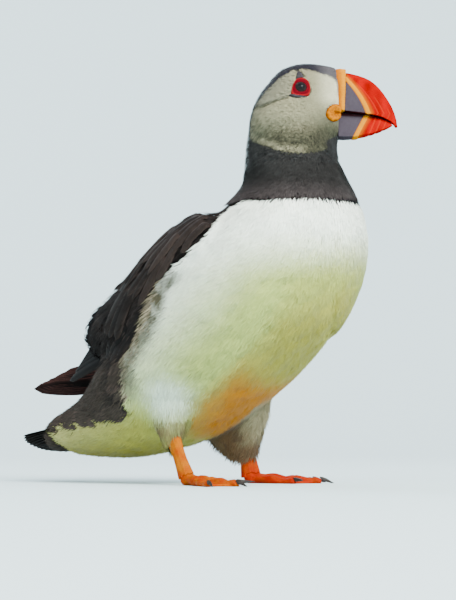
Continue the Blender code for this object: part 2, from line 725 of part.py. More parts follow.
def build_head(head):
    """The bill, cere, rosettes, eyes, rings and plates, each fitted to the head."""
    pieces = {}
    upper = bill_piece("bill_upper", BILL_UPPER_ROWS, 13)
    lower = bill_piece("bill_lower", BILL_LOWER_ROWS, 10)
    cere = bill_piece("cere", CERE_ROWS, 4)
    grown_cere = inflated(cere)
    cut(upper, grown_cere)
    remove(grown_cere)
    tree = BVHTree.FromObject(head, bpy.context.evaluated_depsgraph_get())
    cutters = [inflated(lower), inflated(cere), inflated(upper)]
    for side, word in ((-1, "right"), (1, "left")):
        depth = face_depth(tree, side, 0.0, 0.0)
        centre = in_head(0.0, side * (depth - EYE_SINK), 0.0)
        axes = (HEAD_LEFT * side, HEAD_FORWARD, UP)
        eye = ball("eye_" + word, centre, axes, (EYE_RADIUS,) * 3, 7, 12)
        socket = ball("socket", centre, axes, (EYE_RADIUS + GAP * 1.4,) * 3, 7, 12)
        cut(head, socket)
        remove(socket)
        pieces["eye_" + word] = eye
        lids = eye_ring("eye_ring_" + word, tree, side)
        above = face_plate("eye_plate_upper_" + word, tree, side, *PLATE_UPPER)
        below = face_plate("eye_plate_lower_" + word, tree, side, *PLATE_LOWER)
        rosette = ball("gape_rosette_" + word, in_head(ROSETTE_CENTRE.x, side * ROSETTE_CENTRE.y,
                                                       ROSETTE_CENTRE.z),
                       (HEAD_LEFT, HEAD_FORWARD, UP),
                       (ROSETTE_RADII[1], ROSETTE_RADII[0], ROSETTE_RADII[2]), 6, 10)
        pieces["eye_ring_" + word] = lids
        pieces["eye_plate_upper_" + word] = above
        pieces["eye_plate_lower_" + word] = below
        pieces["gape_rosette_" + word] = rosette
    grown = inflated(head)
    for word in ("right", "left"):
        globe = inflated(pieces["eye_" + word])
        cut(pieces["eye_ring_" + word], globe)
        cut(pieces["gape_rosette_" + word], grown, *cutters)
        remove(globe)
    for item in [grown] + cutters:
        remove(item)
    pieces.update({"bill_upper": upper, "bill_lower": lower, "cere": cere})
    return pieces


def build():
    for item in list(bpy.data.objects):
        bpy.data.objects.remove(item, do_unlink=True)
    head, neck, trunk = build_body()
    pieces = build_head(head)
    pieces.update({"head": head, "neck": neck, "trunk": trunk})
    grown_trunk, grown_neck = inflated(trunk), inflated(neck)
    pieces["wing_right"] = cut(blade("wing_right", WING_ROWS, 13, 7), grown_trunk, grown_neck)
    pieces["wing_left"] = cut(blade("wing_left", mirrored(WING_ROWS, LEFT_WING_SLIDE), 13, 7),
                              grown_trunk, grown_neck)
    for word, rows in (("right", PRIMARY_ROWS), ("left", LEFT_PRIMARY_ROWS)):
        grown_wing = inflated(pieces["wing_" + word])
        pieces["primaries_" + word] = cut(blade("primaries_" + word, rows, 8, 5),
                                          grown_trunk, grown_wing)
        remove(grown_wing)
    pieces["tail"] = cut(tail_fan(), grown_trunk)
    for word, leg, rows in (("right", FOOT_RIGHT, THIGH_RIGHT_ROWS),
                            ("left", FOOT_LEFT, THIGH_LEFT_ROWS)):
        leg_thigh = cut(thigh("thigh_" + word, leg, rows), grown_trunk)
        sole = foot("foot_" + word, leg)
        shank = tarsus("tarsus_" + word, leg)
        grown_thigh, grown_sole = inflated(leg_thigh), inflated(sole)
        cut(shank, grown_thigh, grown_sole)
        for toe in TOES:
            nail = claw("claw_" + toe + "_" + word, leg, toe)
            pieces["claw_" + toe + "_" + word] = cut(nail, grown_sole)
        remove(grown_thigh)
        remove(grown_sole)
        pieces.update({"thigh_" + word: leg_thigh, "foot_" + word: sole, "tarsus_" + word: shank})
    remove(grown_trunk)
    remove(grown_neck)
    finish(pieces)


def finish(pieces):
    """Names, paints, and the origin moved under the middle of the whole bird."""
    paints = {"head": ("face", 0.85), "neck": ("black", 0.8), "trunk": ("white", 0.85),
              "tail": ("black", 0.7), "thigh": ("white", 0.85), "wing": ("brown", 0.75),
              "primaries": ("black", 0.6), "tarsus": ("orange", 0.5), "foot": ("orange", 0.5),
              "claw": ("claw", 0.35), "eye_ring": ("ring", 0.5), "eye_plate": ("grey", 0.5),
              "eye": ("eye", 0.08), "bill_upper": ("red", 0.35), "bill_lower": ("red", 0.35),
              "cere": ("yellow", 0.6), "gape_rosette": ("yellow", 0.6)}
    low = np.full(3, 1e9)
    high = np.full(3, -1e9)
    for name, item in pieces.items():
        item.name = name
        item.data.name = name
        key = max((k for k in paints if name.startswith(k)), key=len)
        material(item, *paints[key])
        corners = np.array([v.co for v in item.data.vertices])
        low = np.minimum(low, corners.min(axis=0))
        high = np.maximum(high, corners.max(axis=0))
    shift = Matrix.Translation((-(low[0] + high[0]) / 2, -(low[1] + high[1]) / 2, -low[2]))
    for item in pieces.values():
        item.data.transform(shift)


build()
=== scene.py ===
"""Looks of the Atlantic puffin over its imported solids: one skin, its coat of feathers, horn, legs.

Lengths here are millimetres in the bird's own frame, as in the solids: the bird faces -Y, its
left side is +X and the soles stand at z = 0. placed() turns them into the frame's metres.
"""

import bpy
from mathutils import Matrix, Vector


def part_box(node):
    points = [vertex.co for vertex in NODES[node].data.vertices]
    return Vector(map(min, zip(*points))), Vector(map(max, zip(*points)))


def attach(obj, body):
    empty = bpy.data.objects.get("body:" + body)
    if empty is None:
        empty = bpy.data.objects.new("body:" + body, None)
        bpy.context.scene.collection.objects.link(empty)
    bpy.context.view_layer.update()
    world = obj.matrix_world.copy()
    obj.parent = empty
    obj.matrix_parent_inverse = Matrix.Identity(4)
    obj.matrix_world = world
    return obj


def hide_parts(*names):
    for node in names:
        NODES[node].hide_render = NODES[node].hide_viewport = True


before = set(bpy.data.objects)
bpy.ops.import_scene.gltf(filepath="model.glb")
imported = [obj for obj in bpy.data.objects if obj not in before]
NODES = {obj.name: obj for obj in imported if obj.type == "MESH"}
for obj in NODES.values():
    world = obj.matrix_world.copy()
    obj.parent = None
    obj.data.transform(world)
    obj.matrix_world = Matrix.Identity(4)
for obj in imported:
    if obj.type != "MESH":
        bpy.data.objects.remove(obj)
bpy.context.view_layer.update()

import math

import bmesh
import bpy
import numpy as np
from mathutils import Vector
from mathutils.bvhtree import BVHTree

MM = 0.001
BODY = "root"

# ---------------------------------------------------------------- the bird's frame

EYE_MIDDLE = np.array([2, -47.6, 204.8])  # the point between the eyes
HEAD_TURN = math.radians(37)              # the head is turned to the bird's left
HEAD_AXES = np.array([[math.sin(HEAD_TURN), -math.cos(HEAD_TURN), 0],
                      [math.cos(HEAD_TURN), math.sin(HEAD_TURN), 0],
                      [0, 0, 1]])
FACE_END = 19.4                   # the feathers stop here, at the bill
WAVES = 7                         # crossing waves that make up a ripple


def middle_of(node):
    """The middle of a node's box, in metres."""
    low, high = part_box(node)
    return (np.array(low) + np.array(high)) / 2


ORIGIN = (middle_of("eye_left") + middle_of("eye_right")) / 2 - EYE_MIDDLE * MM
ORIGIN[2] = 0


def placed(points):
    """Bird's millimetres to the frame's metres."""
    return np.asarray(points) * MM + ORIGIN


def measured(points):
    """The frame's metres to bird's millimetres."""
    return (np.asarray(points) - ORIGIN) / MM


def head_places(points):
    """Forward, left and up from the point between the eyes."""
    return (points - EYE_MIDDLE) @ HEAD_AXES.T


def from_head(places):
    """Places of the head's frame (forward, left, up) in the bird's frame."""
    return EYE_MIDDLE + np.asarray(places) @ HEAD_AXES


def unit(vectors):
    """The same ways with length 1."""
    return vectors / np.maximum(np.linalg.norm(vectors, axis=-1, keepdims=True), 1e-9)


def smooth(low, high, values):
    """0 below low, 1 above high, and an even ramp between."""
    t = np.clip((values - low) / (high - low), 0, 1)
    return t * t * (3 - 2 * t)


def bell(points, centre, radius):
    """1 at the centre, falling to nothing a few radii away."""
    return np.exp(-np.sum(((points - np.array(centre)) / radius) ** 2, axis=-1))


def ripple(points, size, seed):
    """Smooth noise between about -1 and 1, from crossing waves."""
    rng = np.random.default_rng(seed)
    total = np.zeros(points.shape[:-1])
    for _ in range(WAVES):
        way = unit(rng.normal(size=3)) * (2 * math.pi / size) * rng.uniform(0.6, 1.7)
        total += np.sin(points @ way + rng.uniform(0, 2 * math.pi))
    return total / 3.2


# ---------------------------------------------------------------- markings

def rgb(*shares):
    """A colour as linear reflectance."""
    return np.array(shares)


WHITE = rgb(0.89, 0.93, 0.82)
# Painted light: yellow-green reflected light on the white belly.
REFLECTED_YELLOW = rgb(0.376, 0.432, 0.08)
# Painted light: orange reflected light on the white belly before the legs.
REFLECTED_ORANGE = rgb(0.416, 0.152, 0.0008)
# Painted light: olive reflected light on the white belly, on its near side and under the tail.
REFLECTED_OLIVE = rgb(0.304, 0.272, 0.036)
# Painted light: the olive reflected light, darker with painted shade low under the tail.
REFLECTED_OLIVE_SHADED = rgb(0.208, 0.16, 0.0096)
# Painted shadow of the wing on the white flank.
WING_SHADOW = rgb(0.068, 0.0576, 0.0336)
STAIN = rgb(0.1, 0.056, 0.0272)
THIGH = rgb(0.24, 0.205, 0.115)
# Buff of the wisps by the wing: partly their own colour, partly painted shade on white feathers.
WISP_IN_SHADE = rgb(0.34, 0.27, 0.175)
FACE = rgb(0.248, 0.228, 0.136)
FACE_FRONT = rgb(0.496, 0.464, 0.312)
FACE_SHADE = rgb(0.184, 0.176, 0.12)
# Painted shade on the lower cheek.
FACE_LOW_SHADE = rgb(0.048, 0.0464, 0.0272)
# The cap is black; its faint blue is a painted reflection.
CAP = rgb(0.0112, 0.0104, 0.0176)
FOREHEAD = rgb(0.082, 0.074, 0.08)
# Painted shadow along the cere.
CERE_SHADOW = rgb(0.095, 0.068, 0.052)   # along the cere
COLLAR = rgb(0.0184, 0.0176, 0.0168)
COLLAR_LOW = rgb(0.0416, 0.0344, 0.0336)
BACK = rgb(0.0072, 0.0068, 0.0084)
WING = rgb(0.0132, 0.0104, 0.0096)
BROWN = rgb(0.04, 0.0275, 0.0228)
RUMP = rgb(0.035, 0.0265, 0.0212)
# Painted highlight: reddish-brown light on the edges of the left primaries.
RED_BROWN_HIGHLIGHT = rgb(0.05, 0.021, 0.018)
QUILL = rgb(0.0042, 0.0037, 0.0036)

# Edge of the pale cheek from the bill over the eye, down the nape and along the collar,
# as (forward, up) in the head's frame.
CHEEK_EDGE = ((21, 3.6), (14, 7.8), (7.7, 10.4), (0.4, 11.6), (-5.6, 10.4), (-11.4, 6.3),
              (-17.5, -0.1), (-22.8, -7.6), (-26.6, -14.8), (-27.4, -20.5), (-25.6, -25.8),
              (-20.2, -29.6), (-13.7, -33), (-6.6, -34.9), (0.5, -35.3), (8, -34),
              (14, -31), (21, -25))
# The crease behind the eye, (forward, up).
CREASE = ((-23.8, -10.6), (-20.2, -10.1), (-16.2, -8.3), (-9.6, -5.9), (-5.4, -4.5))
# Where the white flank ends under the wing and the rump, as (y, z) seen from the side.
FLANK_EDGE = ((-40, 150), (-26, 139), (-26, 131), (-15, 119), (-4, 111),
              (7, 101), (10, 90), (18, 77), (31, 66), (33, 54), (31, 44),
              (40, 38.5), (54, 35.7), (73, 33), (91, 31.5), (106, 30.5),
              (109.7, 28.2), (104, 24.9), (99, 22.7), (97, 19.9), (94, 17.7),
              (92, 8))
COLLAR_HEIGHT = 144.6
# The band of painted orange reflected light before the legs slopes down to the rear from this place
# on the midline.
BAND_HEIGHT, BAND_Y, BAND_SLOPE = 50, -17, 0.78
NEAR_THIGH = (-38, 10, 43)
NEAR_THIGH_SHADE = rgb(0.72, 0.8, 0.74)
NEAR_LEG, NEAR_LEG_SIZE = (-30, 12), (7, 10.5)  # where the near leg leaves the belly
NEAR_ANKLE = (-29, 17, 27)


def inside(edge, a, b):
    """Signed distance to a closed line of points, positive inside it."""
    line = np.array(edge)
    distance = np.full(a.shape, 1e9)
    odd = np.zeros(a.shape, bool)
    for (x0, y0), (x1, y1) in zip(line, np.roll(line, -1, axis=0)):
        dx, dy = x1 - x0, y1 - y0
        t = np.clip(((a - x0) * dx + (b - y0) * dy) / (dx * dx + dy * dy), 0, 1)
        distance = np.minimum(distance, np.hypot(a - x0 - t * dx, b - y0 - t * dy))
        if y0 != y1:
            crosses = ((y0 > b) != (y1 > b)) & (a < dx * (b - y0) / dy + x0)
            odd ^= crosses
    return np.where(odd, distance, -distance)


def blend(colour, other, share):
    """Each point's share of the way from one colour to another."""
    return colour + (other - colour) * share[:, None]


def cheek(points):
    """Millimetres inside the pale cheek; the chin and the nape between the cheeks are dark."""
    forward, left, up = head_places(points).T
    depth = inside(CHEEK_EDGE, forward, up)
    back = smooth(-11, -17, forward)
    depth = np.minimum(depth, (np.abs(left) - 7) * back + 9 * (1 - back))
    chin = np.abs(left) - 3.5 - 1.4 * np.clip(-22 - up, -8, 6) * smooth(4, 12, forward)
    low = smooth(-14, -20, up) * smooth(0, 10, forward)
    return np.minimum(depth, chin * low + 9 * (1 - low))


def above_crease(forward, up):
    """Millimetres above the crease behind the eye."""
    return up - np.interp(forward, *np.array(CREASE).T)


def crease(points):
    """1 along the crease behind the eye, falling to nothing a millimetre away."""
    forward, left, up = head_places(points).T
    length = smooth(-3.8, -6.5, forward) * smooth(-25, -21, forward)
    return np.exp(-(above_crease(forward, up) / 0.75) ** 2) * length * (np.abs(left) > 5)


def collar(points):
    """Millimetres above the collar's lower edge."""
    behind = 3 * smooth(-44, -29, points[..., 1])
    return points[..., 2] - COLLAR_HEIGHT - 0.05 * (points[..., 0] + 10) + behind


def flank(points):
    """Millimetres inside the white underside, seen from the side."""
    closed = FLANK_EDGE + ((-120, -20), (-120, 150))
    return inside(closed, points[..., 1], points[..., 2])


def is_white(points):
    """Where white feathers grow; their roots reach a little way under the collar."""
    edge = 0.4 + 2.2 * smooth(124, 138, points[:, 2])
    return (flank(points) > edge) & (collar(points) < 3.4)


def stays_white(points):
    """Whether the tip of a white feather ends on the white, or hardly past its edge."""
    return flank(points) > -1.2


def height_over_band(points):
    """Millimetres above the upper edge of the band of painted orange reflected light, which wanders a
    little.
    """
    slope = BAND_SLOPE * (points[:, 1] - BAND_Y)
    return points[:, 2] - BAND_HEIGHT + slope + 1.2 * ripple(points, 14, 5)


def breast_and_belly(points):
    """White breast and belly with painted light: yellow-green reflected light on the belly, painted
    shade over the near thigh, olive reflected light on the near side, and a band of orange reflected
    light before the legs that turns olive ahead.
    """
    x, y, z = points.T
    above = height_over_band(points)
    # Painted yellow-green reflected light on the belly.
    reflected_yellow = smooth(80, 20, above) * smooth(78, 36, np.abs(x)) * smooth(134, 102, z)
    colour = blend(WHITE, REFLECTED_YELLOW, 0.95 * reflected_yellow)
    thigh = bell(points, NEAR_THIGH, (11, 12, 12))
    colour = blend(colour, WHITE * NEAR_THIGH_SHADE, (1.3 * thigh).clip(0, 0.9))
    by_near_side = smooth(34, 26, -x)
    # Painted olive reflected light on the near side.
    olive = smooth(28, 8, above) * smooth(30, 6, y) * by_near_side
    colour = blend(colour, REFLECTED_OLIVE, 0.42 * olive)
    from_leg = np.hypot(*((points[:, :2] - NEAR_LEG) / NEAR_LEG_SIZE).T)
    on_leg = smooth(1.3, 1.05, from_leg) * smooth(44, 38, z)
    # The band of painted orange reflected light, turning olive ahead.
    band = smooth(11, -2, above) * smooth(38, 12, y) * by_near_side
    ahead = smooth(-18, -38, y)
    colour = blend(colour, REFLECTED_ORANGE, band * (1 - 0.85 * ahead) * (1 - on_leg))
    return blend(colour, REFLECTED_OLIVE, band * 0.75 * ahead)


def underside(points):
    """Breast and belly, olive reflected light under the tail with painted shade at its lowest,
    painted shadow of the wing along its edge, brown on the thighs.
    """
    x, y, z = points.T
    colour = breast_and_belly(points)
    # Painted olive reflected light under the tail, with painted shade where it is lowest.
    colour = blend(colour, REFLECTED_OLIVE, 0.9 * smooth(12, 36, y) * smooth(46, 30, z))
    colour = blend(colour, REFLECTED_OLIVE_SHADED, 0.8 * smooth(10, 26, y) * smooth(28, 15, z))
    # Painted shadow of the wing along the edge of the white.
    wing_shadow_mask = smooth(10, 2, flank(points)) * smooth(114, 102, z) * smooth(40, 56, z)
    colour = blend(colour, WING_SHADOW, (wing_shadow_mask * (0.9 + 0.25 * ripple(points, 6, 8))).clip(0, 1))
    far_thigh = (x > 8) * smooth(49, 41, z) * smooth(56, 40, y)
    colour = blend(colour, THIGH, far_thigh * smooth(14, 6, y))
    rear = np.maximum(smooth(-3, 9, y + 2.5 * ripple(points, 6, 12)), smooth(26, 17, z))
    ankle = bell(points, NEAR_ANKLE, (9, 7, 5))
    return blend(colour, STAIN, np.maximum(0.95 * far_thigh * rear, 0.8 * ankle))


def upper_side(points):
    """Brown-black, warmer on the wing and the rump, with browner patches that stand partly for wear
    and partly for a painted sheen.
    """
    x, y, z = points.T
    on_wing = smooth(12, 26, np.abs(x)) * smooth(80, 62, y)
    on_rump = smooth(40, 60, y) * smooth(72, 52, z)
    colour = blend(blend(BACK, WING, on_wing), RUMP, on_rump)
    # Browner patches: partly wear, partly a painted sheen.
    worn = smooth(0.1, 1.1, ripple(points * np.array([1, 0.8, 1.4]), 13, 9))
    return blend(colour, BROWN, 0.55 * worn * np.maximum(on_wing, on_rump))


def dark_head(points):
    """Cap, greyer forehead, and the collar with its paler lower rim."""
    forward, _, up = head_places(points).T
    dark = blend(COLLAR, COLLAR_LOW, smooth(12, 0, points[:, 2] - COLLAR_HEIGHT))
    cap = blend(CAP, FOREHEAD, smooth(4, 15, forward) * smooth(0, 6, up))
    return blend(dark, cap, smooth(-16, -4, up))


def pale_face(points):
    """The cheek: lighter towards the bill, with painted shade behind the eye and towards the rear,
    painted shade along its lower edge, and a line of painted shade in the crease.
    """
    forward, _, up = head_places(points).T
    shade_behind_eye = smooth(-0.4, 0.5, above_crease(forward, up)) * smooth(-2.5, -8, forward)
    pale = blend(FACE, FACE_FRONT, smooth(4, 15, forward) * smooth(-12, -3, up))
    pale = blend(pale, FACE_SHADE, 0.75 * shade_behind_eye + 0.25 * smooth(-6, -20, forward))
    # Painted shade along the lower cheek, less of it at the cheek's rim.
    low = smooth(-11, -29, up - 0.45 * forward.clip(0, 14))
    low_rim = smooth(5, 1.5, cheek(points)) * smooth(6, -3, forward)
    pale = blend(pale, FACE_LOW_SHADE, low * (1 - 0.55 * low_rim))
    # Painted shade in the crease behind the eye.
    return pale * (1 - 0.75 * crease(points))[:, None]


def head_colour(points):
    """Dark cap and collar round the pale cheek, and painted shadow along the cere."""
    forward, _, up = head_places(points).T
    rim = 1.2 * smooth(-26, -14, up) * smooth(16, 8, forward)
    on_cheek = smooth(-0.4, 0.4, cheek(points) - rim)
    # Painted shadow along the cere.
    cere_shadow_mask = smooth(17.6, 19, forward) * smooth(-6, 2, up)
    return blend(blend(dark_head(points), pale_face(points), on_cheek), CERE_SHADOW, 0.7 * cere_shadow_mask)


def markings(points):
    """The skin's colour at each place."""
    body = blend(upper_side(points), underside(points), smooth(-0.8, 0.8, flank(points)))
    return blend(body, head_colour(points), smooth(-0.6, 0.6, collar(points)))


# ---------------------------------------------------------------- lie and depth of the coat

# Ways the feathers lie at places of the head (forward, left, up) and of the body (x, y, z),
# given for the right side and mirrored.
HEAD_LIE = (
    ((18, -9, -6), (-1, -0.2, -0.1)), ((14, 0, 10), (-1, 0, 0.25)),
    ((0, 0, 13), (-1, 0, 0)), ((-14, 0, 7), (-0.8, 0, -0.6)),
    ((-25, 0, -12), (-0.25, 0, -1)), ((-27, 0, -35), (0, 0, -1)),
    ((4, -16, -10), (-1, -0.1, -0.3)), ((-12, -18, -10), (-1, 0.2, -0.35)),
    ((4, -19, -28), (-0.52, 0, -0.85)), ((-12, -19, -28), (-0.55, 0, -0.8)),
    ((14, -8, -26), (-0.55, -0.2, -0.8)), ((15, 0, -28), (-0.5, 0, -0.9)),
)
BODY_LIE = (
    ((0, -78, 152), (0, -0.1, -1)), ((-30, -52, 155), (-0.1, 0.1, -1)),
    ((0, -25, 155), (0, 0.5, -0.85)), ((-22, -72, 130), (-0.4, 0.25, -0.9)),
    ((0, -80, 122), (0, 0.1, -1)), ((0, -66, 88), (0, 0.55, -0.85)),
    ((-30, -50, 105), (-0.45, 0.6, -0.7)), ((0, -42, 66), (0, 0.75, -0.65)),
    ((0, -14, 45), (0, 0.88, -0.45)), ((0, 20, 25), (0, 0.97, -0.25)),
    ((0, 70, 15), (0, 1, -0.02)), ((0, 105, 16), (0, 1, 0.05)),
    ((-44, -22, 112), (-0.1, 0.8, -0.58)), ((-48, 2, 88), (0, 0.82, -0.57)),
    ((-46, 24, 62), (0, 0.74, -0.67)), ((-38, -10, 60), (-0.1, 0.78, -0.6)),
    ((-36, 12, 46), (0, 0.22, -0.97)), ((-30, 14, 32), (0, 0.1, -1)),
    ((-34, 48, 42), (0, 0.86, -0.5)), ((-24, 80, 34), (0, 0.97, -0.2)),
    ((0, 2, 142), (0, 0.78, -0.62)), ((0, 40, 108), (0, 0.72, -0.69)),
    ((0, 70, 72), (0, 0.78, -0.62)), ((0, 100, 44), (0, 0.93, -0.35)),
    ((-36, -24, 136), (-0.1, 0.7, -0.7)), ((-42, 4, 118), (0, 0.74, -0.67)),
    ((-38, 40, 90), (0.05, 0.76, -0.65)), ((-28, 62, 76), (0.05, 0.8, -0.6)),
)
LIE_REACH = 9                     # within this of a place its own way holds
LIE_CHUNK = 20000                 # points weighed at once


def lie_table():
    """Both tables in the bird's frame, with their mirror images: places and ways."""
    tables = ((HEAD_LIE, from_head, HEAD_AXES, (1, -1, 1)),
              (BODY_LIE, np.asarray, np.eye(3), (-1, 1, 1)))
    places, ways = [], []
    for table, to_body, axes, flip in tables:
        for place, way in table:
            for mirror in (np.ones(3), np.array(flip)):
                places.append(to_body(np.array(place) * mirror))
                ways.append((np.array(way) * mirror) @ axes)
    return np.array(places), unit(np.array(ways))


LIE_PLACES, LIE_WAYS = lie_table()


def lie(points, normals):
    """The way the feathers lie at each place, along the skin."""
    way = np.zeros_like(points)
    for start in range(0, len(points), LIE_CHUNK):
        part = slice(start, start + LIE_CHUNK)
        apart = points[part, None, :] - LIE_PLACES[None, :, :]
        weight = 1 / (np.sum(apart * apart, axis=-1) + LIE_REACH ** 2) ** 2
        way[part] = weight @ LIE_WAYS
    way -= normals * np.sum(way * normals, axis=-1, keepdims=True)
    return unit(way)


def coat_depth(points):
    """How far the skin lies below the outline of the feathers."""
    forward, _, up = head_places(points).T
    _, y, z = points.T
    depth = 0.9 + 0.7 * smooth(-8, -24, forward) + 0.9 * smooth(178, 160, z)
    depth += 0.6 * smooth(146, 120, z)
    crown = smooth(5, 8, up)
    depth *= 0.35 + 0.65 * np.maximum(smooth(FACE_END, FACE_END - 7, forward), crown)
    return np.where(z < 40, depth - 0.9 * smooth(44, 26, z) * smooth(40, 30, y), depth)


# ---------------------------------------------------------------- meshes

def linked(name, data):
    """A new object of the scene with this data."""
    item = bpy.data.objects.new(name, data)
    bpy.context.scene.collection.objects.link(item)
    return item


def read(collection, name, width, kind=np.float32):
    """One property of every member of a mesh's collection, in rows of `width` numbers."""
    flat = np.zeros(len(collection) * width, kind)
    collection.foreach_get(name, flat)
    return flat.reshape(-1, width)


def grid_faces(rows, columns, closed=True, outward=True):
    """Triangles of a grid of points, closed round its columns or open."""
    faces = []
    for i in range(rows - 1):
        for j in range(columns if closed else columns - 1):
            a, b = i * columns + j, i * columns + (j + 1) % columns
            c, d = a + columns, b + columns
            faces += [(a, b, d), (a, d, c)] if outward else [(a, d, b), (a, c, d)]
    return faces


def new_object(name, points, triangles, normals=None):
    """A smooth mesh object from points in millimetres and triangles."""
    mesh = bpy.data.meshes.new(name)
    mesh.vertices.add(len(points))
    mesh.vertices.foreach_set("co", placed(points).astype(np.float32).ravel())
    mesh.loops.add(triangles.size)
    mesh.loops.foreach_set("vertex_index", triangles.astype(np.int32).ravel())
    mesh.polygons.add(len(triangles))
    mesh.polygons.foreach_set("loop_start", np.arange(0, triangles.size, 3, dtype=np.int32))
    mesh.update(calc_edges=True)
    mesh.polygons.foreach_set("use_smooth", np.ones(len(triangles), bool))
    if normals is not None:
        mesh.normals_split_custom_set_from_vertices(unit(normals).tolist())
    return linked(name, mesh)


def paint(item, colours):
    """The colours of the points, kept on the mesh for its material."""
    layer = item.data.color_attributes.new("markings", "FLOAT_COLOR", "POINT")
    rgba = np.ones((len(colours), 4), np.float32)
    rgba[:, :3] = np.clip(colours, 0, 1)
    layer.data.foreach_set("color", rgba.ravel())


def note(item, name, values):
    """Three numbers for each point, kept on the mesh for its material."""
    layer = item.data.attributes.new(name, "FLOAT_VECTOR", "POINT")
    layer.data.foreach_set("vector", np.asarray(values, np.float32).ravel())


def points_of(item):
    """The item's points in the bird's millimetres."""
    return measured(read(item.data.vertices, "co", 3).astype(float))


def normals_of(item):
    """The item's smooth normals, one for each point."""
    return read(item.data.vertex_normals, "vector", 3).astype(float)


def move_points(item, points):
    """The item's points set to new places."""
    item.data.vertices.foreach_set("co", placed(points).astype(np.float32).ravel())
    item.data.update()


def applied(item):
    """The item's modifiers worked into its mesh."""
    graph = bpy.context.evaluated_depsgraph_get()
    mesh = bpy.data.meshes.new_from_object(item.evaluated_get(graph))
    item.modifiers.clear()
    old = item.data
    item.data = mesh
    bpy.data.meshes.remove(old)
    return item


def grown_copy(name, nodes, grow):
    """One mesh of several nodes, each grown a little along its normals."""
    edit = bmesh.new()
    for node in nodes:
        part = bmesh.new()
        part.from_mesh(NODES[node].data)
        bmesh.ops.remove_doubles(part, verts=part.verts, dist=0.00001)
        bmesh.ops.recalc_face_normals(part, faces=part.faces)
        part.normal_update()
        for vertex in part.verts:
            vertex.co += vertex.normal * (grow * MM)
        piece = bpy.data.meshes.new("part")
        part.to_mesh(piece)
        part.free()
        edit.from_mesh(piece)
        bpy.data.meshes.remove(piece)
    mesh = bpy.data.meshes.new(name)
    edit.to_mesh(mesh)
    edit.free()
    return linked(name, mesh)


def remeshed(item, size, passes):
    """The item as an even mesh of small faces, smoothed."""
    remesh = item.modifiers.new("even", "REMESH")
    remesh.mode = "VOXEL"
    remesh.voxel_size = size * MM
    soften = item.modifiers.new("soften", "SMOOTH")
    soften.factor = 0.5
    soften.iterations = passes
    applied(item)
    item.data.shade_smooth()
    return item


# ---------------------------------------------------------------- the skin

FLESH = ("head", "neck", "trunk", "thigh_right", "thigh_left", "wing_right", "wing_left")
CLOSE_CUTS = 0.55                 # how much each node grows so that the cuts between them close
SKIN_SIZE = 1.15                  # size of the skin's faces
SKIN_PASSES = 7                   # rounds of smoothing
THICKEST = 30                     # the skin's thickness is measured up to this
MOST_SINK = 0.32                  # share of the thickness that the skin may sink
UNWRAP_ANGLE = math.radians(72)
# Painted shade: the skin under the coat is a little darker than the feathers over it.
SKIN_SHADE = 0.92                  # the skin is a little darker than the feathers over it


def thickness(item, points, normals):
    """How thick the item is under each point."""
    tree = BVHTree.FromObject(item, bpy.context.evaluated_depsgraph_get())
    start = placed(points - normals * 0.05)
    thick = np.full(len(points), 99.0)
    for k, (place, normal) in enumerate(zip(start, normals)):
        hit = tree.ray_cast(Vector(place), Vector(-normal), THICKEST * MM)
        if hit[0] is not None:
            thick[k] = hit[3] / MM
    return thick


def skin_sink(points):
    """How far the skin goes below the grown flesh: less at the crown, more at the breast."""
    forward, _, up = head_places(points).T
    crown = smooth(4, 11, up) * smooth(23.5, 20, forward)
    breast = smooth(155, 140, points[:, 2]) * smooth(-20, -50, points[:, 1])
    sink = 0.85 * coat_depth(points) + CLOSE_CUTS - 0.15 - 1.3 * crown + 0.9 * breast
    return sink - 0.15 * smooth(16.8, 18.2, forward) * smooth(3, 7, up)


def make_skin():
    """The flesh as one surface, sunk below the outline by the depth of the coat."""
    skin = remeshed(grown_copy("skin", FLESH, CLOSE_CUTS), SKIN_SIZE, SKIN_PASSES)
    points, normals = points_of(skin), normals_of(skin)
    sink = np.minimum(skin_sink(points), MOST_SINK * thickness(skin, points, normals))
    sunk = points - normals * sink[:, None]
    # The face stays up against the bill.
    held = smooth(FACE_END - 2, FACE_END - 0.8, head_places(points)[:, 0])
    back = HEAD_AXES[0] * ((points - sunk) @ HEAD_AXES[0])[:, None]
    move_points(skin, sunk + back * held[:, None] - normals * crease(points)[:, None])
    return skin


def unwrap(item):
    """An unwrap of the item's own shape, in the UV layer OFBake."""
    item.data.uv_layers.new(name="OFBake")
    bpy.ops.object.select_all(action="DESELECT")
    bpy.context.view_layer.objects.active = item
    item.select_set(True)
    bpy.ops.object.mode_set(mode="EDIT")
    bpy.ops.mesh.select_all(action="SELECT")
    bpy.ops.uv.smart_project(angle_limit=UNWRAP_ANGLE, island_margin=0.002)
    bpy.ops.object.mode_set(mode="OBJECT")
    item.select_set(False)


